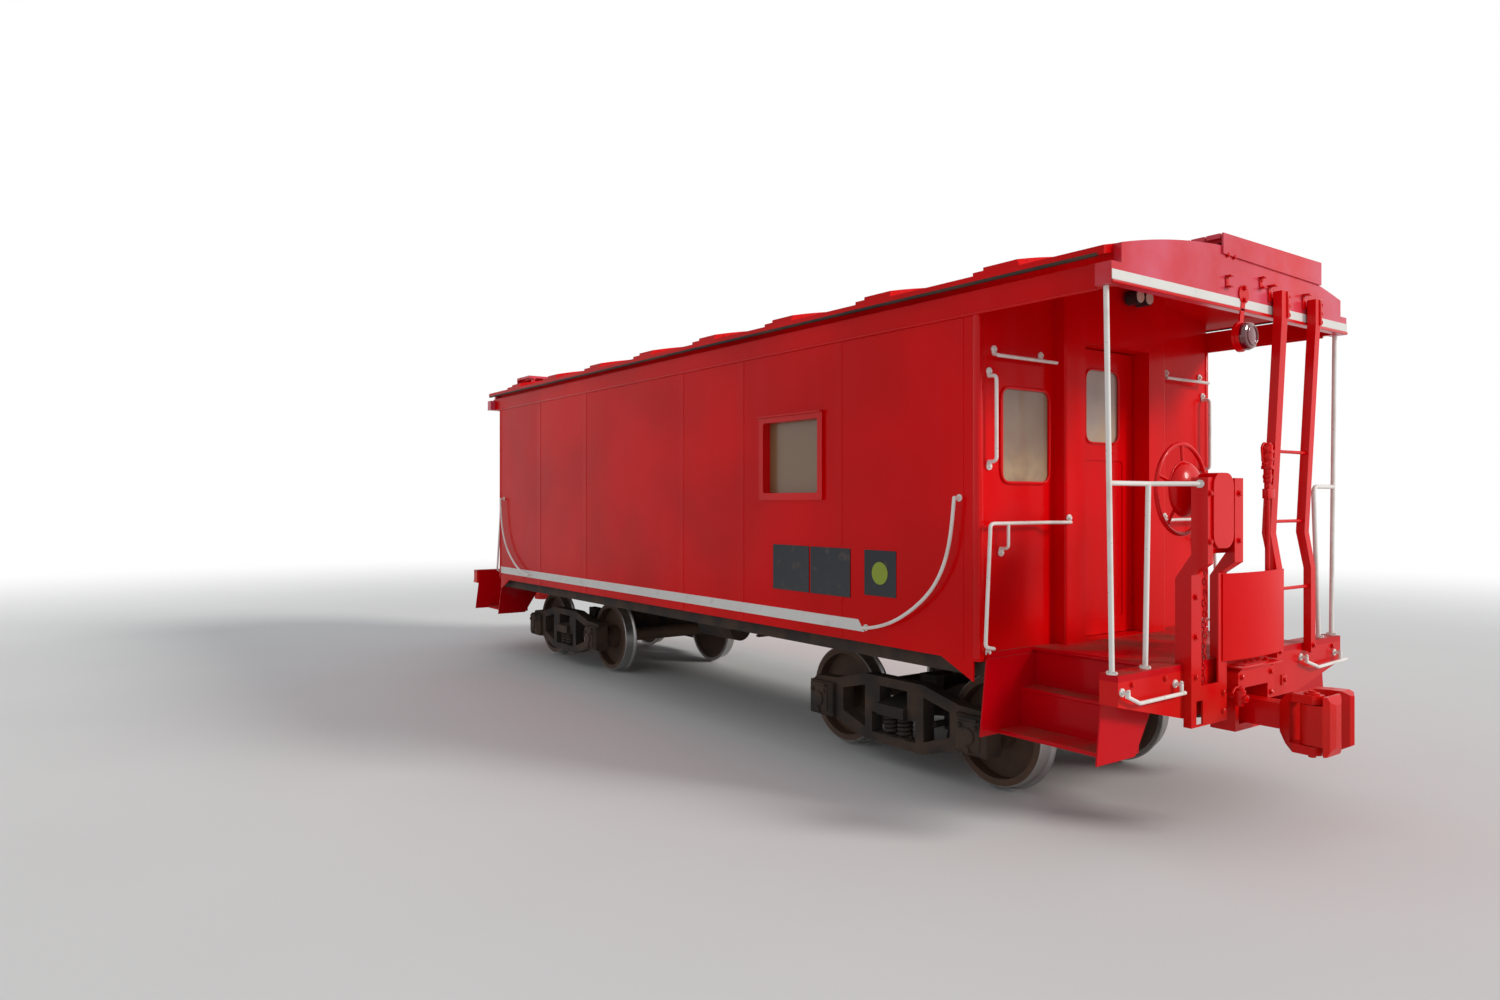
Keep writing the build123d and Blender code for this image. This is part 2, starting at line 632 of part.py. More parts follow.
def underframe():
    """Two deep channels down the middle, body bolsters, cross bearers and side sills."""
    top = FLOOR_Z - FLOOR_THICKNESS
    bottom = RAIL + H_CENTRE_SILL_BOTTOM
    frame = None
    for side in (-1, 1):
        web_y = side * CENTRE_SILL_HALF
        channel = [(web_y, bottom), (web_y + side * SILL_FLANGE, bottom),
                   (web_y + side * SILL_FLANGE, bottom + SILL_WEB),
                   (web_y + side * SILL_WEB, bottom + SILL_WEB),
                   (web_y + side * SILL_WEB, top - SILL_WEB), (web_y + side * SILL_FLANGE, top - SILL_WEB),
                   (web_y + side * SILL_FLANGE, top), (web_y, top)]
        piece = slab_yz(channel, -SILL_BACK_X, SILL_BACK_X)
        frame = piece if frame is None else frame + piece
    cover_half = CENTRE_SILL_HALF + SILL_WEB
    frame += block(-SILL_BACK_X, SILL_BACK_X, -cover_half, cover_half, top - SILL_WEB, top)
    for side in (-1, 1):
        y0, y1 = sorted((side * INNER_HALF, side * (INNER_HALF - SIDE_SILL_WIDTH)))
        frame += block(-BODY_END, BODY_END, y0, y1, top - SIDE_SILL_HEIGHT, top)
    reach = INNER_HALF - SIDE_SILL_WIDTH / 2
    h_end = H_SHEET_BOTTOM - SIDE_SILL_HEIGHT
    # centre X, width along X, height of the bottom at the middle
    cross_members = ((TRUCK_X, BODY_BOLSTER_WIDTH, H_CENTRE_PLATE + BODY_BOLSTER_RISE),
                     (CROSS_BEARER_X, CROSS_BEARER_WIDTH, H_CENTRE_SILL_BOTTOM))
    for centre_x, width, h_middle in cross_members:
        outline = [(-reach, top), (-reach, RAIL + h_end), (-CENTRE_SILL_HALF - SILL_FLANGE, RAIL + h_middle),
                   (CENTRE_SILL_HALF + SILL_FLANGE, RAIL + h_middle), (reach, RAIL + h_end), (reach, top)]
        for end in (-1, 1):
            frame += slab_yz(outline, end * centre_x - width / 2, end * centre_x + width / 2)
    pocket_top = RAIL + H_COUPLER + SHANK_HEIGHT / 2 + CLEARANCE
    pin_length = SHANK_HEIGHT + 2 * CLEARANCE + POCKET_THICKNESS
    for end in (-1, 1):
        frame += rod((end * TRUCK_X, 0, RAIL + H_CENTRE_PLATE + RUNNING_FIT), (0, 0, 1),
                     BODY_BOLSTER_RISE + SILL_WEB, CENTRE_PLATE_RADIUS)
        x = end * COUPLER_PIVOT_X
        frame += block(x - POCKET_HALF, x + POCKET_HALF, -CENTRE_SILL_HALF, CENTRE_SILL_HALF, pocket_top,
                       pocket_top + POCKET_THICKNESS)
        foot = (x, 0, pocket_top - pin_length)
        frame += rod(foot, (0, 0, 1), pin_length, COUPLER_PIN)
        frame += rod(foot, (0, 0, 1), POCKET_THICKNESS - CLEARANCE, COUPLER_PIN + POCKET_THICKNESS)
    return frame


def wheelset():
    """Two flanged wheels pressed on one axle, turned as a single piece."""
    back = BACK_TO_BACK / 2
    face = back + WHEEL_WIDTH
    inside = WHEEL_RADIUS - RIM_DEPTH
    # half of the turned section as (y, radius), from the middle of the axle outwards
    section = [(0, 0), (0, AXLE_RADIUS), (back - HUB_PROUD, AXLE_RADIUS), (back - HUB_PROUD, HUB_RADIUS),
               (back + PLATE_BACK[1], HUB_RADIUS), (back + PLATE_BACK[0], inside), (back, inside)]
    section += [(back + shift, WHEEL_RADIUS + rise) for shift, rise in TREAD_SECTION]
    section += [(face, inside), (back + PLATE_FRONT[0], inside), (back + PLATE_FRONT[1], HUB_RADIUS),
                (face + HUB_PROUD, HUB_RADIUS), (face + HUB_PROUD, AXLE_RADIUS),
                (face + 2 * HUB_PROUD, JOURNAL_RADIUS), (JOURNAL_END_Y, JOURNAL_RADIUS), (JOURNAL_END_Y, 0)]
    half = revolve(make_face(Polyline(*[(0, y, r) for y, r in section], close=True)), Axis.Y)
    return half + mirror(half, about=Plane.XZ)


def side_frame():
    """Cast side frame at the origin's truck: arched top chord, dropped bottom chord, journal boxes."""
    box_half = JOURNAL_BOX_SIZE / 2
    axle_x = WHEELBASE / 2
    top = RAIL + H_SIDE_FRAME_TOP
    bottom = RAIL + H_SIDE_FRAME_BOTTOM
    box_low = AXLE_Z - box_half
    box_top = AXLE_Z + box_half
    near = axle_x - box_half
    far = axle_x + box_half
    # right half of the outline as (x, z), from the bottom chord up to the top chord
    half = [(CHORD_HALF, bottom), (near, box_low), (far, box_low), (far, box_top),
            (far - SHOULDER, box_top + SHOULDER_RISE[0]), (near, box_top + SHOULDER_RISE[1]),
            (CHORD_HALF, top)]
    y0 = SIDE_FRAME_Y - SIDE_FRAME_WIDTH / 2
    y1 = SIDE_FRAME_Y + SIDE_FRAME_WIDTH / 2
    frame = slab_xz(half + [(-x, z) for x, z in reversed(half)], y0, y1)
    opening = BOLSTER_WIDTH / 2 + CLEARANCE
    seat = bottom + SPRING_SEAT
    frame -= block(-opening - SPRING_SHELF, opening + SPRING_SHELF, y0 - 1, y1 + 1, seat, top - BOLSTER_SEAT)
    frame -= block(-opening, opening, y0 - 1, y1 + 1, seat, top - COLUMN_TOP)
    for side in (-1, 1):
        window = [(side * CHORD_HALF, bottom + CHORD_DEPTH), (side * CHORD_HALF, top - CHORD_DEPTH),
                  (side * WINDOW_END_X, top - WINDOW_DROP), (side * WINDOW_END_X, AXLE_Z - JOURNAL_RADIUS)]
        frame -= slab_xz(window, y0 - 1, y1 + 1)
        lid_y = JOURNAL_END_Y + BOX_PROUD
        box = block(side * axle_x - box_half, side * axle_x + box_half, y0, lid_y, box_low, box_top)
        lid_edges = [edge for edge in box.edges() if edge.center().Y > lid_y - 1]
        frame += chamfer(lid_edges, LID_CHAMFER)
        frame -= rod((side * axle_x, y0 - 1, AXLE_Z), (0, 1, 0), JOURNAL_END_Y + RUNNING_FIT - y0 + 1,
                     JOURNAL_RADIUS + RUNNING_FIT)
    return frame


def truck_bolster():
    """Bolster through both side frames, with the centre bowl and side bearings on top."""
    end_y = SIDE_FRAME_Y + SIDE_FRAME_WIDTH / 2 + BOLSTER_END
    half = BOLSTER_WIDTH / 2
    low = RAIL + H_SIDE_FRAME_TOP - BOLSTER_SEAT
    top = RAIL + H_SIDE_FRAME_TOP - COLUMN_TOP - CLEARANCE
    middle_top = RAIL + H_CENTRE_PLATE - BOWL_DEPTH
    shoulder_y, middle_y = BOLSTER_YS
    outline = [(-end_y, low), (-end_y, low + BOLSTER_RISE[0]), (-shoulder_y, low + BOLSTER_RISE[1]),
               (-middle_y, middle_top), (middle_y, middle_top), (shoulder_y, low + BOLSTER_RISE[1]),
               (end_y, low + BOLSTER_RISE[0]), (end_y, low), (shoulder_y, low),
               (middle_y, low - BOLSTER_BELLY), (-middle_y, low - BOLSTER_BELLY), (-shoulder_y, low)]
    beam = slab_yz([(y, min(z, top)) for y, z in outline], -half, half)
    bowl = rod((0, 0, middle_top - CLEARANCE), (0, 0, 1), BOWL_DEPTH + CLEARANCE, CENTRE_PLATE_RADIUS)
    half_x, half_y = SIDE_BEARING_SIZE[0] / 2, SIDE_BEARING_SIZE[1] / 2
    for side in (-1, 1):
        y = side * SIDE_BEARING_Y
        beam += block(-half_x, half_x, y - half_y, y + half_y, low + BOLSTER_RISE[0],
                      RAIL + H_CENTRE_PLATE + BOWL_DEPTH)
    return beam + bowl


def truck_springs():
    """Four stacks with the outline of a coil, standing on the side frames under the bolster."""
    low = RAIL + H_SIDE_FRAME_BOTTOM + SPRING_SEAT
    top = RAIL + H_SIDE_FRAME_TOP - BOLSTER_SEAT
    inner = SPRING_RADIUS - SPRING_BAR
    pitch = (top - low) / SPRING_TURNS
    outline = [(0, low), (inner, low)]
    for index in range(SPRING_TURNS):
        z = low + index * pitch
        outline += [(SPRING_RADIUS, z + pitch / 3), (SPRING_RADIUS, z + 2 * pitch / 3), (inner, z + pitch)]
    outline.append((0, top))
    coil = revolve(make_face(Polyline(*[(radius, 0, z) for radius, z in outline], close=True)), Axis.Z)
    shift = SPRING_RADIUS + SPRING_BAR
    return [Pos(x, y, 0) * coil for y in (-SIDE_FRAME_Y, SIDE_FRAME_Y) for x in (-shift, shift)]


def coupler():
    """Drooping coupler: shank with an eye, wide head with a guard arm, and two lugs for the knuckle."""
    z = RAIL + H_COUPLER
    half_shank = SHANK_HEIGHT / 2
    shank = block(COUPLER_PIVOT_X, COUPLER_FACE_X - HEAD_PLAN[1][0], -SHANK_WIDTH / 2, SHANK_WIDTH / 2,
                  z - half_shank, z + half_shank)
    shank += rod((COUPLER_PIVOT_X, 0, z - half_shank), (0, 0, 1), SHANK_HEIGHT, SHANK_WIDTH / 2)
    pin_radius = COUPLER_PIN + RUNNING_FIT
    shank -= rod((COUPLER_PIVOT_X, 0, z - SHANK_HEIGHT), (0, 0, 1), 2 * SHANK_HEIGHT, pin_radius)
    half_head = HEAD_HEIGHT / 2
    head = slab_xy([(COUPLER_FACE_X - back, y) for back, y in HEAD_PLAN], z - half_head, z + half_head)
    side = [(COUPLER_FACE_X - back, z + rise) for back, rise in HEAD_SIDE]
    head &= slab_xz(side, -HEAD_HEIGHT, HEAD_HEIGHT)
    hollow = KNUCKLE_HEIGHT / 2 + CLEARANCE
    head -= slab_xy([(COUPLER_FACE_X - back, y) for back, y in HEAD_SPACE], z - hollow, z + hollow)
    pin = (COUPLER_FACE_X - KNUCKLE_PIVOT, -KNUCKLE_PIVOT, z - half_head - KNUCKLE_PIN)
    head += rod(pin, (0, 0, 1), HEAD_HEIGHT + 2 * KNUCKLE_PIN, KNUCKLE_PIN)
    head += rod((pin[0], pin[1], z + half_head), (0, 0, 1), KNUCKLE_PIN / 2, 2 * KNUCKLE_PIN)
    return shank + head


def knuckle():
    """Hooked knuckle with its eye on the coupler's pin and a tall rounded nose."""
    z = RAIL + H_COUPLER
    half = KNUCKLE_HEIGHT / 2
    x = COUPLER_FACE_X - KNUCKLE_PIVOT
    hub = rod((x, -KNUCKLE_PIVOT, z - half), (0, 0, 1), KNUCKLE_HEIGHT, KNUCKLE_EYE)
    hook = slab_xy([(COUPLER_FACE_X - back, y) for back, y in HOOK_PLAN], z - half, z + half)
    half_head = HEAD_HEIGHT / 2
    nose = slab_xy([(COUPLER_FACE_X - back, y) for back, y in NOSE_PLAN], z - half_head, z + half_head)
    side = [(COUPLER_FACE_X - back, z + rise) for back, rise in NOSE_SIDE]
    nose &= slab_xz(side, -HEAD_HEIGHT, HEAD_HEIGHT)
    pin_radius = KNUCKLE_PIN + RUNNING_FIT
    hole = rod((x, -KNUCKLE_PIVOT, z - KNUCKLE_HEIGHT), (0, 0, 1), 2 * KNUCKLE_HEIGHT, pin_radius)
    return hub + hook + nose - hole


def fascia(back_x):
    """Canopy end plate: arched top, straight bottom and a small block at each end of its foot."""
    x1 = back_x + FASCIA_THICKNESS
    low = RAIL + H_BAND_BOTTOM
    half = FASCIA_HALF_WIDTH
    eave = RAIL + H_EAVE + FASCIA_EAVE_RISE
    edges = [Line((-half, low), (half, low)), Line((half, low), (half, eave)),
             ThreePointArc((half, eave), (0, RAIL + H_RIDGE + FASCIA_OVER_RIDGE), (-half, eave)),
             Line((-half, eave), (-half, low))]
    plate = Pos(back_x, 0, 0) * extrude(Plane.YZ * make_face(edges), FASCIA_THICKNESS, dir=(1, 0, 0))
    for side in (-1, 1):
        y0, y1 = sorted((side * half, side * ROOF_HALF))
        plate += block(back_x, x1, y0, y1, low, low + END_BLOCK_HEIGHT)
        y0, y1 = sorted((side * (BODY_HALF + BAND_PROUD), side * ROOF_HALF))
        plate += block(back_x - END_BLOCK_LENGTH, back_x, y0, y1, low, low + END_BLOCK_HEIGHT)
    return plate


def running_board(back_x):
    """Lateral running board over a canopy's end: an upright plate, planks and their brackets."""
    x1 = back_x + FASCIA_THICKNESS
    x0 = x1 - BOARD_DEPTH
    low = RAIL + H_RIDGE - BOARD_LAP
    top = RAIL + H_RIDGE + BOARD_RISE
    plate_x = x1 + RUNNING_FIT
    pieces = slab_yz([(BOARD_FROM_Y, low + BOARD_THICKNESS), (BOARD_TO_Y, low), (BOARD_TO_Y, top),
                      (BOARD_FROM_Y, top)], plate_x, plate_x + BOARD_GAP)
    deck_z = top - BOARD_THICKNESS
    pitch = BOARD_DEPTH / BOARD_PLANKS
    for index in range(BOARD_PLANKS):
        start = x0 + index * pitch
        pieces += block(start, start + pitch - BOARD_GAP, BOARD_FROM_Y, BOARD_TO_Y, deck_z, top)
    half = BOARD_BRACKET_WIDTH / 2
    ends = (BOARD_FROM_Y + 2 * BOARD_BRACKET_WIDTH, BOARD_TO_Y - 2 * BOARD_BRACKET_WIDTH)
    for y in (ends[0], sum(ends) / 2, ends[1]):
        pieces += block(x0, plate_x + 1, y - half, y + half, deck_z - BOARD_THICKNESS / 2, deck_z + 1)
        for x in (x0 + BOARD_THICKNESS, x1 - 3 * BOARD_THICKNESS):
            pieces += block(x, x + BOARD_THICKNESS, y - half, y + half, RAIL + H_EAVE, deck_z)
    cut = roof_band(-RUNNING_FIT, ROOF_RADIUS / 2, ROOF_HALF, x0 - BOARD_GAP, back_x + RUNNING_FIT)
    return pieces - cut - Pos(-1, 0, 0) * fascia(back_x + 1)


def end_rails():
    """White posts along the sill, with a gate rail to the hand brake and a bent one on the right."""
    x = SILL_FACE_X - POST_SET_BACK
    foot = FLOOR_Z + PALM_THICKNESS / 2
    top = RAIL + H_BAND_BOTTOM - 1
    gate = RAIL + H_GATE_RAIL
    top_y = ROOF_HALF - POST_TOP_INSET
    gate_y = POST_FOOT_Y + (top_y - POST_FOOT_Y) * (gate - FLOOR_Z) / (top - FLOOR_Z)
    rails = []
    for side, (foot_y, gate_end_y) in zip((-1, 1), INNER_POST_YS):
        rail = bar([(x, side * POST_FOOT_Y, foot), (x, side * top_y, top)], RAIL_RADIUS)
        for y in (POST_FOOT_Y, foot_y):
            rail += rod((x, side * y, FLOOR_Z), (0, 0, 1), PALM_THICKNESS, 2 * RAIL_RADIUS)
        if side == 1:
            rail += bar([(x, foot_y, foot), (x, gate_end_y, gate), (x, gate_y, gate)], RAIL_RADIUS,
                        3 * RAIL_RADIUS)
        else:
            rail += bar([(x, -foot_y, foot), (x, -gate_end_y, gate)], RAIL_RADIUS)
            cheek_y = BRAKE_Y - BRAKE_HALF_WIDTH - RUNNING_FIT
            end_x = SILL_FACE_X + (HEAD_BACK + HEAD_REACH) / 2 + PALM_THICKNESS
            rail += bar([(x, -gate_y, gate), (x, -gate_end_y, gate),
                         (end_x, cheek_y - 2 * PALM_THICKNESS, gate)],
                        CROSS_RAIL_RADIUS, 3 * RAIL_RADIUS)
            rail += rod((end_x, cheek_y, gate), (0, -1, 0), 2 * PALM_THICKNESS, PALM_RADIUS)
        rails.append(rail)
    return rails


def palm(y, height):
    """A round foot on the end wall."""
    return rod((BODY_END, y, RAIL + height), (1, 0, 0), PALM_THICKNESS, PALM_RADIUS)


def grab_irons():
    """White grab irons on the front wall: a flat one, an upright one and the stair rail, on both sides."""
    x = BODY_END
    off = x + GRAB_STAND_OFF
    flat_z = RAIL + H_FLAT_GRAB
    flat = bar([(off, -FLAT_GRAB_YS[0], flat_z), (off, -FLAT_GRAB_YS[1], flat_z)], GRAB_RADIUS)
    for y in FLAT_GRAB_LUG_YS:
        lug = [(x, flat_z - GRAB_RADIUS), (x, flat_z + LUG_RISE), (x + LUG_THICKNESS, flat_z + LUG_RISE),
               (off + GRAB_RADIUS, flat_z + GRAB_RADIUS), (off + GRAB_RADIUS, flat_z - GRAB_RADIUS)]
        flat += slab_xz(lug, -y - LUG_THICKNESS / 2, -y + LUG_THICKNESS / 2)
    y = -UPRIGHT_GRAB_Y
    low, high = RAIL + H_UPRIGHT_GRAB[0], RAIL + H_UPRIGHT_GRAB[1]
    upright = bar([(x, y, low), (off, y, low), (off, y, high), (x, y, high)], GRAB_RADIUS, GRAB_BEND)
    upright += palm(y, H_UPRIGHT_GRAB[0]) + palm(y, H_UPRIGHT_GRAB[1])
    foot_y, elbow_y, corner_y, end_y = STAIR_RAIL_YS
    foot, elbow, top = [RAIL + height for height in H_STAIR_RAIL]
    porch_x = x + PORCH_PROUD
    over = porch_x + GRAB_BEND
    stair = bar([(x, -foot_y, foot), (off, -foot_y, foot), (off, -elbow_y, elbow), (off, -corner_y, top),
                 (off, -STAIR_RAIL_LEAP[0], top), (over, -STAIR_RAIL_LEAP[1], top), (over, -end_y, top)],
                GRAB_RADIUS, GRAB_BEND)
    stair += palm(-foot_y, H_STAIR_RAIL[0]) + Pos(PORCH_PROUD, 0, 0) * palm(-end_y, H_STAIR_RAIL[2])
    stair += rod((porch_x, -end_y, top), (1, 0, 0), GRAB_BEND + GRAB_RADIUS, GRAB_RADIUS + 2)
    branch_z = RAIL + H_STAIR_BRANCH
    branch = [(off, -STAIR_BRANCH_Y, top), (off, -STAIR_BRANCH_Y, branch_z), (x, -STAIR_BRANCH_Y, branch_z)]
    stair += bar(branch, STAIR_BRANCH_RADIUS, GRAB_BEND)
    stair += palm(-STAIR_BRANCH_Y, H_STAIR_BRANCH)
    left = [flat, upright, stair]
    return left + [to_right(iron) for iron in left]


def side_rails():
    """Curved white rails at the four corners, from a foot at the body's corner down to the stripe."""
    y = -BODY_HALF - SIDE_RAIL_STAND_OFF
    points = [(BODY_END - back, y, RAIL + height) for back, height in SIDE_RAIL_CURVE]
    left = tube_along(Spline(*points), GRAB_RADIUS)
    for x, _, z in (points[0], points[-1]):
        left += Pos(x, y, z) * Sphere(GRAB_RADIUS)
        left += rod((x, y, z), (0, 1, 0), SIDE_RAIL_STAND_OFF, GRAB_RADIUS)
        left += rod((x, -BODY_HALF, z), (0, -1, 0), PALM_THICKNESS, PALM_RADIUS)
    right = to_right(left)
    return [left, right, to_rear(left), to_rear(right)]


def ladder():
    """Roof ladder: two bent angle stiles on the end sill and the canopy, round rungs and a valve pipe."""
    front = [(SILL_FACE_X + reach, RAIL + height) for reach, height in zip(STILE_REACH, H_STILE)]
    wall = SILL_FACE_X + RUNNING_FIT
    back = [(max(x - STILE_DEPTH, wall) if z < front[2][1] else x - STILE_DEPTH, z) for x, z in front]
    canopy_face = FASCIA_BACK_X[0] + FASCIA_THICKNESS + RUNNING_FIT
    lug_z = front[-1][1] - 2 * PALM_RADIUS
    stiles = None
    for y, width in zip(LADDER_YS, STILE_WIDTH):
        flange = front + [(x - STILE_THICKNESS, z) for x, z in reversed(front)]
        piece = slab_xz(flange, y, y + width) + slab_xz(front + back[::-1], y, y + STILE_THICKNESS)
        piece += block(canopy_face, front[-1][0] - 1, y, y + width, lug_z, lug_z + PALM_THICKNESS)
        stiles = piece if stiles is None else stiles + piece
    for height in H_RUNGS:
        lower = max(index for index, level in enumerate(H_STILE) if level <= height)
        share = (height - H_STILE[lower]) / (H_STILE[lower + 1] - H_STILE[lower])
        reach = STILE_REACH[lower] + share * (STILE_REACH[lower + 1] - STILE_REACH[lower])
        x = SILL_FACE_X + reach - STILE_DEPTH / 2
        rung_length = LADDER_YS[1] - LADDER_YS[0]
        stiles += rod((x, LADDER_YS[0] + 1, RAIL + height), (0, 1, 0), rung_length, RUNG_RADIUS)
    pipe_x = SILL_FACE_X + PIPE_RADIUS
    low, high = RAIL + H_PIPE[0], RAIL + H_PIPE[1]
    stiles += rod((pipe_x, PIPE_Y, low), (0, 0, 1), high - low, PIPE_RADIUS)
    stiles += rod((pipe_x, PIPE_Y, high), (0, 0, 1), VALVE_LENGTH, VALVE_RADIUS)
    for z in (low + VALVE_LENGTH, high - VALVE_LENGTH):
        stiles += block(pipe_x - 1, pipe_x + PALM_THICKNESS, PIPE_Y, LADDER_YS[0] + 1, z, z + PALM_RADIUS)
    return stiles


def brake_stand():
    """Two bent cheeks with front flanges, a rounded gear housing between them and a foot plate."""
    face = SILL_FACE_X
    left = BRAKE_Y - BRAKE_HALF_WIDTH
    right = BRAKE_Y + BRAKE_HALF_WIDTH
    foot, slot_foot = RAIL + H_LEG_FEET[0], RAIL + H_LEG_FEET[1]
    jog_back, jog_top = RAIL + H_JOG_BACK[0], RAIL + H_JOG_BACK[1]
    jog_front, head_foot = RAIL + H_JOG_FRONT[0], RAIL + H_JOG_FRONT[1]
    top = RAIL + H_CHEEK_TOP
    on_deck = FLOOR_Z + RUNNING_FIT
    wall = face + RUNNING_FIT
    leg_front = face + LEG_REACH
    head_front = face + HEAD_REACH
    outline = [(wall, foot), (leg_front, foot), (leg_front, jog_front), (head_front, head_foot),
               (head_front, top),
               (face + HEAD_BACK, top), (face + HEAD_BACK, jog_top), (face - LEG_BACK, jog_back),
               (face - LEG_BACK, on_deck), (wall, on_deck)]
    stand = slab_xz(outline, left, left + CHEEK_THICKNESS) + slab_xz(outline, right - CHEEK_THICKNESS, right)
    lower = [(leg_front - CHEEK_THICKNESS, foot), (leg_front, foot), (leg_front, jog_front),
             (leg_front - CHEEK_THICKNESS, jog_front)]
    upper = [(leg_front - CHEEK_THICKNESS, jog_front), (leg_front, jog_front), (head_front, head_foot),
             (head_front, top), (head_front - CHEEK_THICKNESS, top),
             (head_front - CHEEK_THICKNESS, head_foot)]
    # outline of a front flange, and the Y it runs between
    flanges = ((lower, left, left + LEFT_LEG_FLANGE), (lower, right - RIGHT_FLANGE, right),
               (upper, left, left + LEFT_FLANGE), (upper, right - RIGHT_FLANGE, right))
    for shape, y0, y1 in flanges:
        stand += slab_xz(shape, y0, y1)
    stand += block(leg_front - CHEEK_THICKNESS, leg_front, left, right, foot, slot_foot)
    hole_y = left + LEFT_LEG_FLANGE / 2
    stand -= block(leg_front - 2 * CHEEK_THICKNESS, leg_front + 1, hole_y, hole_y + FOOT_HOLE[0],
                   foot + CHEEK_THICKNESS, foot + CHEEK_THICKNESS + FOOT_HOLE[1])
    back_x = face + HEAD_BACK
    stand += block(back_x, back_x + CHEEK_THICKNESS, left, right, jog_top, top)
    depth = HEAD_REACH - HEAD_BACK + CHEEK_THICKNESS
    stand += frame_opening((back_x + depth / 2, BRAKE_Y + HOUSING_SHIFT, RAIL + H_HOUSING), HOUSING,
                           HOUSING_CORNER, False, depth)
    shaft = (back_x, BRAKE_Y, RAIL + H_BRAKE)
    stand += rod(shaft, (-1, 0, 0), HEAD_BACK + BRAKE_WHEEL_BACK + BRAKE_HUB_RADIUS, BRAKE_SHAFT_RADIUS)
    bell = Rot(0, -90, 0) * Cone(2 * BRAKE_HUB_RADIUS, BRAKE_HUB_RADIUS, BRAKE_WHEEL_BACK / 2)
    return stand + Pos(back_x - BRAKE_WHEEL_BACK / 4, BRAKE_Y, RAIL + H_BRAKE) * bell


def brake_wheel():
    """Hand wheel: round rim, dished spokes and a hub on the stand's shaft."""
    x = SILL_FACE_X - BRAKE_WHEEL_BACK
    z = RAIL + H_BRAKE
    reach = BRAKE_WHEEL_RADIUS - BRAKE_RIM_RADIUS
    # the rim's turned section starts half way between two spokes
    start = radians(90 + 180 / BRAKE_SPOKES)
    origin = (x, BRAKE_Y + reach * cos(start), z + reach * sin(start))
    section = Plane(origin=origin, z_dir=(0, -sin(start), cos(start)))
    rim = revolve(section * Circle(BRAKE_RIM_RADIUS), Axis((x, BRAKE_Y, z), (1, 0, 0)))
    hub = rod((x - BRAKE_SHAFT_RADIUS, BRAKE_Y, z), (1, 0, 0), 2 * BRAKE_HUB_RADIUS, BRAKE_HUB_RADIUS)
    bore = rod((x - BRAKE_WHEEL_RADIUS, BRAKE_Y, z), (1, 0, 0), 2 * BRAKE_WHEEL_RADIUS,
               BRAKE_SHAFT_RADIUS + RUNNING_FIT)
    wheel = rim + (hub - bore)
    for index in range(BRAKE_SPOKES):
        angle = radians(90 + 360 * index / BRAKE_SPOKES)
        inner = BRAKE_HUB_RADIUS - SPOKE_RADIUS
        end = Vector(x, BRAKE_Y + reach * cos(angle), z + reach * sin(angle))
        root = Vector(x + BRAKE_SHAFT_RADIUS, BRAKE_Y + inner * cos(angle), z + inner * sin(angle))
        wheel += rod(root, (end - root).normalized(), (end - root).length, SPOKE_RADIUS)
    return wheel


def end_shield():
    """Bowed shield plate in front of the hand brake's right leg and the ladder's left stile."""
    x = SILL_FACE_X + LEG_REACH + 1
    y0, y1 = SHIELD_YS
    outer_x = x + SHIELD_THICKNESS
    middle = (y0 + y1) / 2
    outer = ThreePointArc((outer_x, y0), (outer_x + SHIELD_BOW, middle), (outer_x, y1))
    inner = ThreePointArc((x, y1), (x + SHIELD_BOW, middle), (x, y0))
    face = make_face([outer, Line((outer_x, y1), (x, y1)), inner, Line((x, y0), (outer_x, y0))])
    return Pos(0, 0, RAIL + H_SHIELD[0]) * extrude(face, H_SHIELD[1] - H_SHIELD[0], dir=(0, 0, 1))


def marker_lamp(back_x):
    """Red marker lamp hanging from a round-headed paddle on the canopy's end plate."""
    x = back_x + FASCIA_THICKNESS
    z = RAIL + H_RIDGE - LAMP_DROP
    head_z = RAIL + H_RIDGE - PADDLE_DROP
    paddle = rod((x, PADDLE_Y, head_z), (1, 0, 0), PADDLE_THICKNESS, PADDLE_RADIUS)
    half = PADDLE_WAIST / 2
    strap = [(PADDLE_Y - half, head_z), (LAMP_Y - half, z), (LAMP_Y + half, z), (PADDLE_Y + half, head_z)]
    waist = slab_yz(strap, x, x + PADDLE_THICKNESS)
    disc = rod((x, LAMP_Y, z), (1, 0, 0), LAMP_DISC_DEPTH, LAMP_RADIUS)
    lens = rod((x + LAMP_DISC_DEPTH, LAMP_Y, z), (1, 0, 0), LENS_DEPTH, LENS_RADIUS)
    lens = fillet(lens.edges().group_by(Axis.X)[-1], LENS_DEPTH / 2)
    return paddle + waist + disc + lens


def floodlight():
    """Twin black floodlight under the canopy, close to the ceiling over the door."""
    ceiling = RAIL + H_RIDGE - ROOF_THICKNESS
    x = BODY_END + PORCH_PROUD + FLOODLIGHT_RADIUS
    z = ceiling - FLOODLIGHT_DROP
    lights = rod((x, FLOODLIGHT_Y, z), (0, 0, 1), FLOODLIGHT_DROP - CLEARANCE / 2, FLOODLIGHT_RADIUS / 4)
    spread = FLOODLIGHT_RADIUS + CLEARANCE
    lights += rod((x, FLOODLIGHT_Y - spread, z), (0, 1, 0), 2 * spread, FLOODLIGHT_RADIUS / 4)
    for side in (-1, 1):
        y = FLOODLIGHT_Y + side * spread
        lights += rod((x - FLOODLIGHT_RADIUS / 2, y, z), (1, 0, 0), FLOODLIGHT_DEPTH, FLOODLIGHT_RADIUS)
    return lights


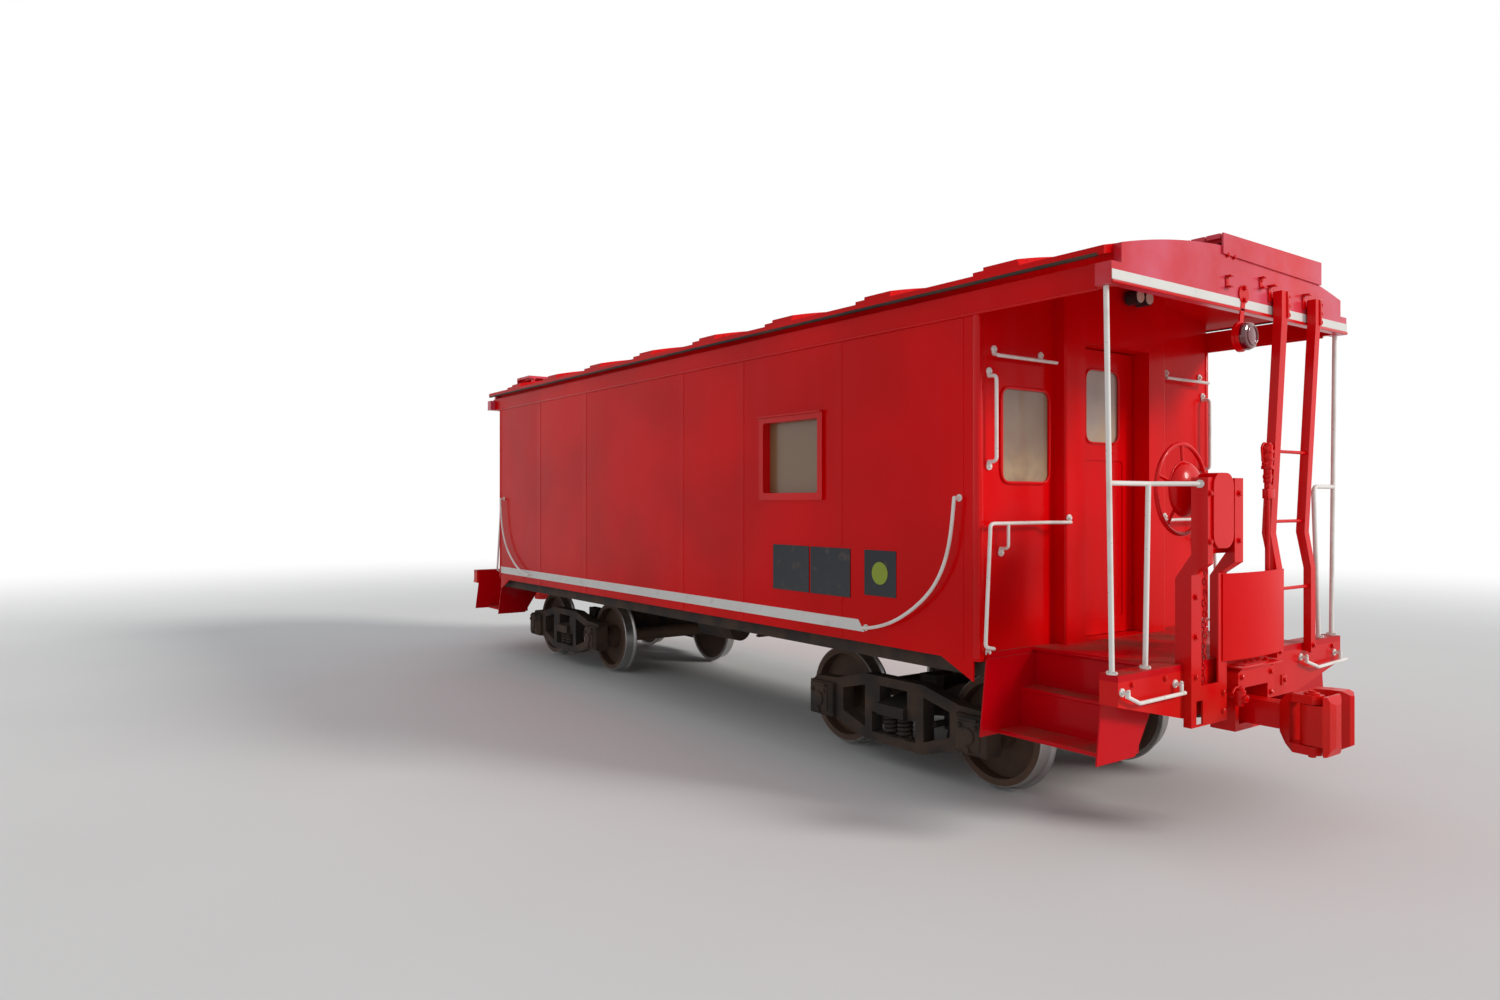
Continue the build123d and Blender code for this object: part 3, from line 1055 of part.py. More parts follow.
def sill_handholds():
    """White bent handholds in front of the sill, one on each side of the coupler."""
    wall = SILL_FACE_X
    out = wall + HANDHOLD_STAND_OFF
    bars = []
    for side, run, feet in zip((-1, 1), HANDHOLD_BARS, HANDHOLD_FEET):
        points = [(out, side * (SILL_HALF_WIDTH - inset), RAIL + height) for inset, height in run]
        piece = bar(points, HANDHOLD_RADIUS, 2 * HANDHOLD_RADIUS)
        for foot_inset, height in feet:
            foot_y = side * (SILL_HALF_WIDTH - foot_inset)
            z = RAIL + height
            nearest = min(run[0], run[-1], key=lambda end: abs(end[0] - foot_inset))
            drop = height - nearest[1]
            piece += rod((wall, foot_y, z), (1, 0, 0), PALM_THICKNESS, PALM_RADIUS)
            piece += rod((wall, foot_y, z), (1, 0, 0), HANDHOLD_STAND_OFF, HANDHOLD_RADIUS)
            piece += rod((out, foot_y, z), (0, 0, -1), drop, HANDHOLD_RADIUS)
            piece += Pos(out, foot_y, z) * Sphere(HANDHOLD_RADIUS)
        bars.append(piece)
    return bars


def air_brake_gear():
    """Air reservoir and brake cylinder hung under the floor between the trucks."""
    top = FLOOR_Z - FLOOR_THICKNESS
    z = top - TANK_DROP
    half = HANGER_WIDTH / 2
    tank = Pos(0, TANK_Y, z) * Cylinder(TANK_RADIUS, TANK_LENGTH, rotation=(0, 90, 0))
    tank = fillet(tank.edges().filter_by(GeomType.CIRCLE), TANK_RADIUS / 3)
    for side in (-1, 1):
        x = side * TANK_LENGTH * 3 / 10
        tank += block(x - half, x + half, TANK_Y - half, TANK_Y + half, z + TANK_RADIUS / 2, top)
    z = top - CYLINDER_DROP
    barrel = Cylinder(CYLINDER_RADIUS, CYLINDER_LENGTH, rotation=(0, 90, 0))
    cylinder = Pos(CYLINDER_X, CYLINDER_Y, z) * barrel
    end_x = CYLINDER_X + CYLINDER_LENGTH / 2
    cylinder += rod((end_x, CYLINDER_Y, z), (1, 0, 0), PUSH_ROD_LENGTH, PUSH_ROD_RADIUS)
    for side in (-1, 1):
        x = CYLINDER_X + side * CYLINDER_LENGTH / 4
        cylinder += block(x - half, x + half, CYLINDER_Y - half, CYLINDER_Y + half, z, top)
    return [tank, cylinder]


def save(name, shape):
    """Write one sub-part, which may be several solids that don't touch."""
    solids = shape if isinstance(shape, list) else [shape]
    solid_list = [item for piece in solids for item in piece.solids()]
    export_step(Compound(children=solid_list), f"parts/{name}.step")


def main():
    os.makedirs("parts", exist_ok=True)
    save("underframe", underframe())
    save("cabin_floor", cabin_floor())
    left = side_wall(SIDE_WINDOW_X)
    save("side_left", left)
    right_x = -SIDE_WINDOW_X
    right = to_right(side_wall(right_x))
    save("side_right", right)
    save("roof", roof())
    save("window_frames", window_frames())
    save("window_panes", window_panes())
    save("end_rails", end_rails())
    save("side_rails", side_rails())
    save("ladder", ladder())
    save("brake_stand", brake_stand())
    save("brake_wheel", brake_wheel())
    save("end_shield", end_shield())
    save("floodlight", floodlight())
    save("air_brake_gear", air_brake_gear())
    wall = end_wall()
    leaf = door()
    pane = door_pane()
    sill = end_sill()
    deck = platform()
    left_steps = steps()
    stairs = [left_steps, to_right(left_steps)]
    hook = knuckle()
    head = coupler()
    irons = grab_irons()
    handholds = sill_handholds()
    for end in ("front", "rear"):
        turn = (lambda piece: piece) if end == "front" else to_rear
        back_x = FASCIA_BACK_X[0] if end == "front" else FASCIA_BACK_X[1]
        save(f"end_wall_{end}", turn(wall))
        save(f"door_{end}", turn(leaf))
        save(f"door_pane_{end}", turn(pane))
        save(f"end_sill_{end}", turn(sill))
        save(f"platform_{end}", turn(deck))
        save(f"steps_{end}", [turn(piece) for piece in stairs])
        save(f"coupler_{end}", turn(head))
        save(f"knuckle_{end}", turn(hook))
        save(f"grab_irons_{end}", [turn(piece) for piece in irons])
        save(f"sill_handholds_{end}", [turn(piece) for piece in handholds])
        save(f"fascia_{end}", turn(fascia(back_x)))
        save(f"running_board_{end}", turn(running_board(back_x)))
        save(f"marker_lamp_{end}", turn(marker_lamp(back_x)))
    frame_left = mirror(side_frame(), about=Plane.XZ)
    frames = [side_frame(), frame_left]
    bolster = truck_bolster()
    springs = truck_springs()
    axle = Pos(0, 0, AXLE_Z) * wheelset()
    for number, end in enumerate((1, -1)):
        name = "front" if end == 1 else "rear"
        place = Pos(end * TRUCK_X, 0, 0)
        save(f"truck_side_frames_{name}", [place * piece for piece in frames])
        save(f"truck_bolster_{name}", place * bolster)
        save(f"truck_springs_{name}", [place * piece for piece in springs])
        for index, shift in enumerate((WHEELBASE / 2, -WHEELBASE / 2)):
            save(f"wheelset_{2 * number + index + 1}", Pos(end * TRUCK_X + end * shift, 0, 0) * axle)


main()
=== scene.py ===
"""Looks of a red steel caboose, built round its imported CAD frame.

Metres, +X at the roofed end, -Y at the side with the window nearest that end, floor at z = 0.
"""
import math

import bpy
from mathutils import Matrix, Vector


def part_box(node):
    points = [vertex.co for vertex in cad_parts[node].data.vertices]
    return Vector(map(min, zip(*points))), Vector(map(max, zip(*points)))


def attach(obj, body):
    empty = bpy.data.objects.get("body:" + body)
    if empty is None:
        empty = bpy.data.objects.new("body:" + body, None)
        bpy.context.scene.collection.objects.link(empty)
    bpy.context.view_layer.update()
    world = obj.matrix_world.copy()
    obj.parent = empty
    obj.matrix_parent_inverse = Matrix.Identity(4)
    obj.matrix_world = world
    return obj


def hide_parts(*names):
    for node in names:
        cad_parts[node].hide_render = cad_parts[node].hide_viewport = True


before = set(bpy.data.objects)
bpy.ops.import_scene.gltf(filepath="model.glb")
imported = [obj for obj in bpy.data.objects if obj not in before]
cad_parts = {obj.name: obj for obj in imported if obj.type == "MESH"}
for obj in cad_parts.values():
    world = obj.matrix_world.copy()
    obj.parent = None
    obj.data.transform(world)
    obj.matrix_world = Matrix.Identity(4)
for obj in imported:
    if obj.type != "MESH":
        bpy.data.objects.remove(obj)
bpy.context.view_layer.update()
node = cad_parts


# Camera: it stands level off the left front corner, a little over two metres up,
# with a wide lens.
bpy.ops.object.select_all(action="DESELECT")
camera_place = Vector((8.617, -6.484, 2.158))
camera_aim = Vector((-0.810, 0.586, 0.0))
bpy.ops.object.camera_add(location=camera_place, rotation=camera_aim.to_track_quat("-Z", "Y").to_euler())
camera = bpy.context.object
camera.data.sensor_width = 36.0
camera.data.lens = 23.124
camera.data.clip_end = 400.0
bpy.context.scene.camera = camera
bpy.context.scene.view_settings.view_transform = "Standard"


# Finishes: a material is written as sums of its sockets. Number adds the Math nodes and
# Nodes.add makes every other node, in a material or in the sky.
class Number:
    """A socket's value, which Python's operators turn into Math nodes."""

    def __init__(self, nodes, socket):
        self.nodes = nodes
        self.socket = socket

    def math(self, operation, first, second=0.0):
        return self.nodes.add("ShaderNodeMath", {"operation": operation}, {0: first, 1: second})

    def __add__(self, other):
        return self.math("ADD", self, other)

    def __radd__(self, other):
        return self.math("ADD", other, self)

    def __sub__(self, other):
        return self.math("SUBTRACT", self, other)

    def __rsub__(self, other):
        return self.math("SUBTRACT", other, self)

    def __mul__(self, other):
        return self.math("MULTIPLY", self, other)

    def __rmul__(self, other):
        return self.math("MULTIPLY", other, self)

    def __truediv__(self, other):
        return self.math("DIVIDE", self, other)

    def __pow__(self, other):
        return self.math("POWER", self, other)

    def fraction(self):
        return self.math("FRACT", self)

    def whole(self):
        return self.math("FLOOR", self)

    def between(self, low, high):
        """0 below low, 1 above high and a soft rise between them."""
        settings = {"interpolation_type": "SMOOTHSTEP"}
        return self.nodes.add("ShaderNodeMapRange", settings, {"Value": self, 1: low, 2: high})


class Nodes:
    """A tree of nodes, and the one way to add to it."""

    def __init__(self, tree):
        self.tree = tree

    def add(self, kind, settings, values, every=False):
        """A node of that kind: its settings first, then values or links for its sockets.

        It gives the first output, or every one by its name.
        """
        made = self.tree.nodes.new(kind)
        for name, value in settings.items():
            setattr(made, name, value)
        for name, value in values.items():
            self.link(made.inputs[name], value)
        outputs = {socket.name: Number(self, socket) for socket in made.outputs if socket.enabled}
        return outputs if every else next(iter(outputs.values()))

    def link(self, socket, value):
        if isinstance(value, Number):
            self.tree.links.new(value.socket, socket)
        else:
            socket.default_value = value


class Finish(Nodes):
    """One material with its Principled shader, painted on the piece's own place."""

    def __init__(self, name, **constants):
        self.material = bpy.data.materials.new(name)
        self.material.use_nodes = True
        super().__init__(self.material.node_tree)
        self.shader = self.tree.nodes["Principled BSDF"]
        for socket, value in constants.items():
            self.shader.inputs[socket.replace("_", " ")].default_value = value
        self.place = self.add("ShaderNodeTexCoord", {}, {}, every=True)["Object"]
        split = self.add("ShaderNodeSeparateXYZ", {}, {0: self.place}, every=True)
        self.x, self.y, self.z = split["X"], split["Y"], split["Z"]

    def noise(self, scale, detail=3.0, stretch=(1.0, 1.0, 1.0)):
        """Even noise from 0 to 1 on the piece's own place, stretched along its axes."""
        vector = self.add("ShaderNodeMapping", {}, {"Vector": self.place, "Scale": stretch})
        return self.add("ShaderNodeTexNoise", {}, {"Vector": vector, "Scale": scale, "Detail": detail})

    def mix(self, amount, first, second):
        """Two colours mixed by an amount from 0 to 1."""
        colours = [value if isinstance(value, Number) else (*value, 1.0) for value in (first, second)]
        settings = {"data_type": "RGBA", "clamp_factor": True}
        return self.add("ShaderNodeMix", settings, {0: amount, 6: colours[0], 7: colours[1]})

    def paint(self, **links):
        """Link what changes over the surface to the shader's sockets."""
        for name, value in links.items():
            self.link(self.shader.inputs[name.replace("_", " ")], value)

    def relief(self, height):
        """Bump whose height is in metres."""
        bump = self.add("ShaderNodeBump", {}, {"Strength": 1.0, "Distance": 1.0, "Height": height})
        self.paint(Normal=bump)


def coat(names, finish):
    """Give CAD nodes one finish."""
    for name in names:
        node[name].data.materials.clear()
        node[name].data.materials.append(finish.material)


# Red paint: a thick glossy enamel rolled on over old steel sheet. The sheet is wavy, rain has left paler
# streaks under the roof and dust sticks low down.
# Where asked, a pink bloom is painted on in patches as a reflection of the sky.
def red_enamel(name, wave, gloss, faded):
    """Red on sheet that waves by so many metres, with so much of it under a painted pink sky reflection."""
    deep, bright = (0.60, 0.0, 0.001), (0.76, 0.0, 0.002)
    # the last colour is a painted pink reflection of the sky
    rained, dusty, painted_sheen = (0.72, 0.03, 0.05), (0.36, 0.06, 0.03), (0.66, 0.17, 0.28)
    red = Finish(name, Coat_Roughness=0.1, Specular_IOR_Level=gloss)
    patches = red.noise(0.8, 2.0)
    streaks = red.noise(4.0, 4.0, (1.0, 1.0, 0.07)).between(0.52, 0.75)
    worn = streaks * red.z.between(1.6, 3.5)
    dust = red.noise(2.5, 5.0).between(0.35, 0.7) * (1.0 - red.z.between(0.6, 1.5))
    colour = red.mix(patches.between(0.3, 0.7), deep, bright)
    colour = red.mix(worn * 0.12, colour, rained)
    colour = red.mix(dust * 0.25, colour, dusty)
    # painted sky reflection: a pink bloom laid over the red in patches, its share set by faded
    colour = red.mix(red.noise(1.6, 4.0).between(0.25, 0.75) * faded, colour, painted_sheen)
    rough = 0.27 + dust * 0.3 + worn * 0.1 + red.noise(30.0) * 0.08
    red.paint(Base_Color=colour, Roughness=rough, Coat_Weight=gloss * 2.0 - dust * 0.08)
    red.relief(red.noise(1.1, 1.0) * wave + red.noise(120.0, 2.0) * 0.00012)
    return red


sheet_red = red_enamel("red_sheet", 0.012, 0.05, 0.0)
steel_red = red_enamel("red_steel", 0.001, 0.11, 0.0)
# this red carries a painted pink sky reflection in patches, for the fascia and running boards
sheen_red = red_enamel("red_faded", 0.001, 0.14, 0.55)
coat(("side_left", "side_right", "roof", "end_wall_front", "end_wall_rear", "door_front", "door_rear",
      "end_shield"), sheet_red)
coat(("window_frames", "ladder", "brake_stand", "brake_wheel", "end_sill_front", "end_sill_rear",
      "marker_lamp_front", "marker_lamp_rear", "coupler_front", "coupler_rear", "knuckle_front",
      "knuckle_rear"), steel_red)
coat(("fascia_front", "fascia_rear", "running_board_front", "running_board_rear"), sheen_red)


# White paint on the rails and handholds: brushed on, chalky, with grime in its low places
# and small chips down to rust.
chalk, grubby, rusty = (0.80, 0.77, 0.73), (0.58, 0.47, 0.40), (0.16, 0.05, 0.03)
white = Finish("white_rails", Specular_IOR_Level=0.4)
grime = white.noise(6.0, 5.0).between(0.45, 0.75)
chips = white.noise(55.0, 3.0).between(0.70, 0.74)
colour = white.mix(chips, white.mix(grime * 0.45, chalk, grubby), rusty)
white.paint(Base_Color=colour, Roughness=0.38 + grime * 0.2 + chips * 0.3)
white.relief(white.noise(90.0, 2.0) * 0.0002 - chips * 0.0003)
coat(("end_rails", "side_rails", "grab_irons_front", "grab_irons_rear", "sill_handholds_front",
      "sill_handholds_rear"), white)


# Window panes: frosted acrylic sheets, gone beige, with a paler bloom along the foot.
# The ones in the doors are nearly white. The panes in the sides are painted darker, as shade.
def frosted(name, pale, dark, foot, shade_reach):
    """Dark, a painted shade, within the given reach of the car's middle and pale beyond it, with a bloom
    from the foot up.
    """
    bloom_colour = (0.50, 0.36, 0.19)
    bloom_height = 0.36
    pane = Finish(name, Roughness=0.3, Coat_Weight=0.25, Coat_Roughness=0.05)
    at_end = (pane.x * pane.x).between(shade_reach ** 2, shade_reach ** 2 + 1.0)
    rise = 1.0 - pane.z.between(foot, foot + bloom_height)
    bloom = rise * pane.noise(5.0, 4.0).between(0.2, 0.7) * at_end
    cloud = pane.noise(2.2, 3.0).between(0.3, 0.7)
    # painted shade: panes near the car's middle, in the sides, take the dark colour and panes at the ends
    # the pale one
    colour = pane.mix(at_end * (0.5 + cloud * 0.5), dark, pale)
    pane.paint(Base_Color=pane.mix(bloom * 0.8, colour, bloom_colour))
    return pane


# the second colour is painted shade on the side windows' panes
beige_pane = frosted("frosted_beige", (0.235, 0.17, 0.13), (0.20, 0.11, 0.05), 2.28, 4.0)
coat(("window_panes",), beige_pane)
white_pane = frosted("frosted_white", (0.42, 0.36, 0.30), (0.24, 0.20, 0.17), 2.60, 0.0)
coat(("door_pane_front", "door_pane_rear"), white_pane)


# Decks and steps: red tread plate whose raised lozenges lie at right angles to their
# neighbours, worn and dusty where feet go.
tread = Finish("red_tread", Specular_IOR_Level=0.08)
pitch = 0.045
lozenge_height = 0.0018
long_square, wide_square = 0.17, 0.012
across = (tread.x + tread.y) / pitch
along = (tread.x - tread.y) / pitch
u = across.fraction() - 0.5
v = along.fraction() - 0.5
odd = ((across.whole() + along.whole()) * 0.5).fraction() * 2.0
length = odd * u + (1.0 - odd) * v
width = odd * v + (1.0 - odd) * u
lozenge = 1.0 - (length * length / long_square + width * width / wide_square).between(0.5, 1.0)
normal = tread.add("ShaderNodeNewGeometry", {}, {}, every=True)["Normal"]
flat = tread.add("ShaderNodeSeparateXYZ", {}, {0: normal}, every=True)["Z"].between(0.7, 0.9)
dust = tread.noise(3.0, 5.0).between(0.3, 0.7) * flat
colour = tread.mix(tread.noise(0.8), (0.50, 0.0, 0.004), (0.60, 0.0, 0.006))
colour = tread.mix(dust * 0.7, colour, (0.20, 0.08, 0.055))
tread.paint(Base_Color=colour, Roughness=0.32 + dust * 0.35, Coat_Weight=0.1 - dust * 0.08)
tread.relief(lozenge * flat * lozenge_height + tread.noise(120.0, 2.0) * 0.00012)
coat(("platform_front", "platform_rear", "steps_front", "steps_rear"), tread)


# Trucks, underframe and brake gear: cast and rolled steel in a black paint that has long gone
# to brown grime and brake dust.
grimy = Finish("grimy_steel", Specular_IOR_Level=0.3)
soot = grimy.noise(3.0, 6.0)
colour = grimy.mix(soot.between(0.35, 0.7), (0.022, 0.018, 0.016), (0.075, 0.045, 0.030))
grimy.paint(Base_Color=colour, Roughness=0.62 + soot * 0.25)
grimy.relief(grimy.noise(35.0, 4.0) * 0.0012)
coat(("underframe", "truck_side_frames_front", "truck_side_frames_rear", "truck_bolster_front",
      "truck_bolster_rear", "truck_springs_front", "truck_springs_rear", "air_brake_gear"), grimy)


# Wheels: rolled steel pressed on their axles. The plates are brown with rust, and the rails
# keep the tread and flange bright.
rust_ends, bright_from = 0.400, 0.412
for number in range(1, 5):
    name = f"wheelset_{number}"
    low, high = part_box(name)
    centre = (low + high) / 2
    steel = Finish(f"wheel_steel_{number}")
    dx = steel.x - centre.x
    dz = steel.z - centre.z
    radius = (dx * dx + dz * dz) ** 0.5
    bright = radius.between(rust_ends, bright_from)
    rust = steel.noise(6.0, 6.0)
    colour = steel.mix(rust, (0.045, 0.028, 0.020), (0.13, 0.065, 0.035))
    steel.paint(Base_Color=steel.mix(bright, colour, (0.42, 0.41, 0.40)), Metallic=bright * 0.9,
                Roughness=0.7 - bright * 0.38 + rust * 0.1)
    steel.relief(steel.noise(30.0, 4.0) * 0.0008)
    coat((name,), steel)


# Cabin floor: bare softwood boards, nailed down across the car with dark gaps between them.
# It shows through the doorways.
board_width = 0.14
gap_depth = 0.003
boards = Finish("floor_boards", Roughness=0.7)
from_middle = (boards.x / board_width).fraction() - 0.5
edge = (from_middle * from_middle).between(0.235, 0.247)
grain = boards.noise(9.0, 6.0, (1.0, 0.08, 1.0))
colour = boards.mix(grain, (0.16, 0.10, 0.055), (0.33, 0.22, 0.13))
boards.paint(Base_Color=boards.mix(edge, colour, (0.03, 0.02, 0.015)))
boards.relief(grain * 0.0006 - edge * gap_depth)
coat(("cabin_floor",), boards)


# Floodlight: two small die-cast housings on one bracket, in black crinkle enamel.
# Their glasses come after the marker lamps.
black = Finish("black_enamel", Specular_IOR_Level=0.4)
scuff = black.noise(12.0, 4.0)
colour = black.mix(scuff, (0.010, 0.010, 0.011), (0.028, 0.027, 0.028))
black.paint(Base_Color=colour, Roughness=0.35 + scuff * 0.2)
black.relief(black.noise(160.0, 2.0) * 0.0002)
coat(("floodlight",), black)


# Side seams: each side is welded up from sheets, and a flat strip covers every joint.
# A strip stands crisp on one edge and is feathered with filler on the other.
def slab(first, second):
    """A cube stretched between two opposite corners, with its place in its mesh."""
    low = Vector([min(pair) for pair in zip(first, second)])
    high = Vector([max(pair) for pair in zip(first, second)])
    bpy.ops.object.select_all(action="DESELECT")
    bpy.ops.mesh.primitive_cube_add(size=1.0, location=(low + high) / 2, scale=high - low)
    bpy.ops.object.transform_apply(location=True, rotation=True, scale=True)
    return bpy.context.object


def pick(piece, wanted, kind="VERT"):
    """Go to edit mode with only the vertices or faces selected that the test wants."""
    bpy.ops.object.mode_set(mode="EDIT")
    bpy.ops.mesh.select_mode(type=kind)
    bpy.ops.mesh.select_all(action="DESELECT")
    bpy.ops.object.mode_set(mode="OBJECT")
    if kind == "VERT":
        for vertex in piece.data.vertices:
            vertex.select = wanted(vertex.co)
    else:
        for face in piece.data.polygons:
            face.select = wanted(face.center, face.normal)
    bpy.ops.object.mode_set(mode="EDIT")


def soften(piece, width, segments=2, angle=40.0):
    """Round the piece's sharp edges and shade the rest smooth."""
    bpy.ops.object.mode_set(mode="OBJECT")
    bpy.ops.object.select_all(action="DESELECT")
    piece.select_set(True)
    bpy.context.view_layer.objects.active = piece
    if width:
        bpy.ops.object.modifier_add(type="BEVEL")
        bevel = piece.modifiers[-1]
        bevel.width = width
        bevel.segments = segments
        bevel.limit_method = "ANGLE"
        bpy.ops.object.modifier_apply(modifier=bevel.name)
    bpy.ops.object.shade_smooth_by_angle(angle=math.radians(angle))


def soft_slab(first, second, width, segments=2):
    """A slab with rounded edges."""
    piece = slab(first, second)
    soften(piece, width, segments)
    return piece


def join(pieces):
    """Make one piece of several."""
    bpy.ops.object.select_all(action="DESELECT")
    for piece in pieces:
        piece.select_set(True)
    bpy.context.view_layer.objects.active = pieces[0]
    if len(pieces) > 1:
        bpy.ops.object.join()
    bpy.ops.object.transform_apply(location=True, rotation=True, scale=True)
    return bpy.context.object


def settle(piece, name, finish, body):
    """Name a finished piece, paint it and let it ride."""
    piece.name = name
    piece.data.name = name
    piece.data.materials.clear()
    piece.data.materials.append(finish.material)
    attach(piece, body)


def turned(piece):
    """A copy of the piece at the other end of the car."""
    bpy.ops.object.select_all(action="DESELECT")
    piece.select_set(True)
    bpy.context.view_layer.objects.active = piece
    bpy.ops.object.duplicate()
    copy = bpy.context.object
    copy.rotation_euler = (0.0, 0.0, math.pi)
    bpy.ops.object.transform_apply(location=True, rotation=True, scale=True)
    return copy


def settle_pair(piece, name, other_name, finish):
    """Settle the copy turned to the other end or side under its own name, then the piece."""
    settle(turned(piece), other_name, finish, "carbody")
    settle(piece, name, finish, "carbody")


porch_depth = 0.1
body_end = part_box("end_wall_front")[1].x - porch_depth
side_y = 1.45
sill_top = 1.072
band_foot = 3.417
strip_half, strip_proud = 0.03, 0.003
seam_backs = (0.16, 1.41, 2.74, 3.76, 5.9, 7.2)
strips = []
for back in seam_backs:
    x = body_end - back
    strip = slab((x - strip_half, -side_y - strip_proud, sill_top),
                 (x + strip_half, -side_y + 0.001, band_foot))
    # the far edge is feathered down to the sheet
    pick(strip, lambda place: place.x < x and place.y < -side_y)
    bpy.ops.transform.translate(value=(-strip_half, 0.9 * strip_proud, 0.0))
    soften(strip, 0.001, 1)
    strips.append(strip)
settle_pair(join(strips), "side_seams_left", "side_seams_right", sheet_red)


# Letterboard bead and drip rail: a half-round bead closes the foot of the letterboard, and a
# grimy drip rail runs along the roof's edge.
beads, rails = [], []
roof_low, roof_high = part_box("roof")
bead_end, bead_proud, bead_round = roof_high.x - 0.09, 0.015, 0.0055
rail_end, rail_proud, rail_width = roof_high.x - 0.045, 0.004, 0.024
for side in (-1, 1):
    beads.append(soft_slab((-body_end, side * (side_y - 0.004), band_foot - 0.012),
                           (bead_end, side * (side_y + bead_proud), band_foot + 0.002), bead_round, 3))
    outer_y = roof_high.y + rail_proud
    rails.append(soft_slab((roof_low.x + 0.02, side * (outer_y - rail_width), roof_low.z - 0.004),
                           (rail_end, side * outer_y, roof_low.z + 0.016), 0.003))
settle(join(beads), "letterboard_beads", steel_red, "carbody")
settle(join(rails), "drip_rails", grimy, "carbody")


# Side plates: a white reflecting stripe along the foot of each side, two black panels with
# a pale line between them, and a black square with a yellow-green spot. All are enamelled sheet.
def enamel(name, dark, light, rough):
    """Smooth enamel between two shades, with a little brown dirt."""
    dirty = (0.25, 0.16, 0.12)
    paint = Finish(name, Specular_IOR_Level=0.3)
    fade = paint.noise(2.0, 4.0)
    dirt = paint.noise(9.0, 5.0).between(0.55, 0.8)
    colour = paint.mix(dirt * 0.3, paint.mix(fade, dark, light), dirty)
    paint.paint(Base_Color=colour, Roughness=rough + dirt * 0.2)
    paint.relief(paint.noise(60.0, 2.0) * 0.0002)
    return paint


def disc(centre, axis, radius, depth, rounding=0.0, sides=24, segments=2):
    """A round plate that stands on the centre and grows along the axis."""
    axis = Vector(axis)
    bpy.ops.object.select_all(action="DESELECT")
    bpy.ops.mesh.primitive_cylinder_add(vertices=sides, radius=radius, depth=depth,
                                        location=Vector(centre) + axis * depth / 2,
                                        rotation=axis.to_track_quat("Z", "Y").to_euler())
    plate = bpy.context.object
    bpy.ops.object.transform_apply(location=True, rotation=True, scale=True)
    soften(plate, rounding, segments)
    return plate


white_enamel = enamel("white_stripe", (0.66, 0.64, 0.60), (0.80, 0.79, 0.76), 0.4)
black_enamel = enamel("black_panel", (0.006, 0.008, 0.012), (0.022, 0.026, 0.034), 0.3)
spot_paint = enamel("yellow_spot", (0.22, 0.30, 0.02), (0.36, 0.42, 0.04), 0.4)
rail_top = 0.028


def side_plate(back_from, back_to, height_from, height_to, thickness):
    """A thin plate on the left side, placed by its distance behind the body's end and its height."""
    return slab((body_end - back_to, -side_y - thickness, height_from + rail_top),
                (body_end - back_from, -side_y + 0.0005, height_to + rail_top))


# the stripe runs to the far end, and its near end is cut on the slant
stripe = side_plate(1.12, 2.0 * body_end, 1.12, 1.21, 0.003)
pick(stripe, lambda place: place.x > 3.0 and place.z > 1.2)
bpy.ops.transform.translate(value=(-0.07, 0.0, 0.0))
soften(stripe, 0.0012, 1)
panels = []
rim_width, rim_depth = 0.012, 0.0012
# distance behind the body's end, from and to, height above the rail, from and to, and thickness
for where in ((1.28, 1.765, 1.37, 1.75, 0.0065), (1.785, 2.27, 1.37, 1.75, 0.0065),
              (0.777, 1.12, 1.406, 1.751, 0.004)):
    panel = side_plate(*where)
    pick(panel, lambda centre, normal: normal.y < -0.9, "FACE")
    bpy.ops.mesh.inset(thickness=rim_width, depth=-rim_depth)
    soften(panel, 0.0008, 1)
    panels.append(panel)
panels = join(panels)
spot_back, spot_z, spot_radius = 0.95, 1.607, 0.085
spot = disc((body_end - spot_back, -side_y - 0.0015, spot_z), (0.0, -1.0, 0.0), spot_radius, 0.004,
            0.0008, 48, 1)
for piece, name, paint, slot in ((stripe, "side_stripe", white_enamel, "white_paint"),
                                 (panels, "side_panels", black_enamel, "black_enamel"),
                                 (spot, "side_spot", spot_paint, "black_enamel")):
    settle_pair(piece, name + "_left", name + "_right", paint)


# Canopy stripe: a white enamelled band is fixed along the foot of each canopy end plate, and
# a slim red lip of rolled bar is welded under it.
canopy_half = 1.519
band_heights, lip_heights = (3.440, 3.500), (3.4185, 3.438)
for end, sign in (("front", 1), ("rear", -1)):
    low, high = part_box(f"fascia_{end}")
    face = high.x if sign == 1 else low.x
    band = soft_slab((face, -canopy_half, band_heights[0]),
                     (face + sign * 0.004, canopy_half, band_heights[1]), 0.0012, 1)
    settle(band, f"canopy_stripe_{end}", white_enamel, "carbody")
    lip = soft_slab((face, -canopy_half, lip_heights[0]),
                    (face + sign * 0.010, canopy_half, lip_heights[1]), 0.003)
    settle(lip, f"canopy_lip_{end}", steel_red, "carbody")


# Roof caps: pressed steel caps cover the seams between the roof sheets. A row of round-headed
# screws holds each edge down, painted over with the roof.
def scatter(seed, places):
    """Copies of a small piece that stands on z = 0, each set at a point and turned to its direction."""
    copies = []
    for point, direction in places:
        copy = seed.copy()
        copy.data = seed.data.copy()
        turn = Vector(direction).to_track_quat("Z", "Y").to_matrix().to_4x4()
        copy.matrix_world = Matrix.Translation(point) @ turn
        bpy.context.collection.objects.link(copy)
        copies.append(copy)
    bpy.data.objects.remove(seed)
    return join(copies)


def prism(sides, width, height):
    """An upright prism on z = 0."""
    bpy.ops.object.select_all(action="DESELECT")
    bpy.ops.mesh.primitive_cylinder_add(vertices=sides, radius=width / 2, depth=height,
                                        location=(0.0, 0.0, height / 2))
    bpy.ops.object.transform_apply(location=True, rotation=True, scale=True)
    return bpy.context.object


def screw_head(width, height):
    """A low dome with a few sides."""
    head = prism(8, width, height)
    pick(head, lambda centre, normal: normal.z > 0.9, "FACE")
    bpy.ops.mesh.inset(thickness=width * 0.18, depth=height * 0.4)
    soften(head, 0.0, 1, 60.0)
    return head


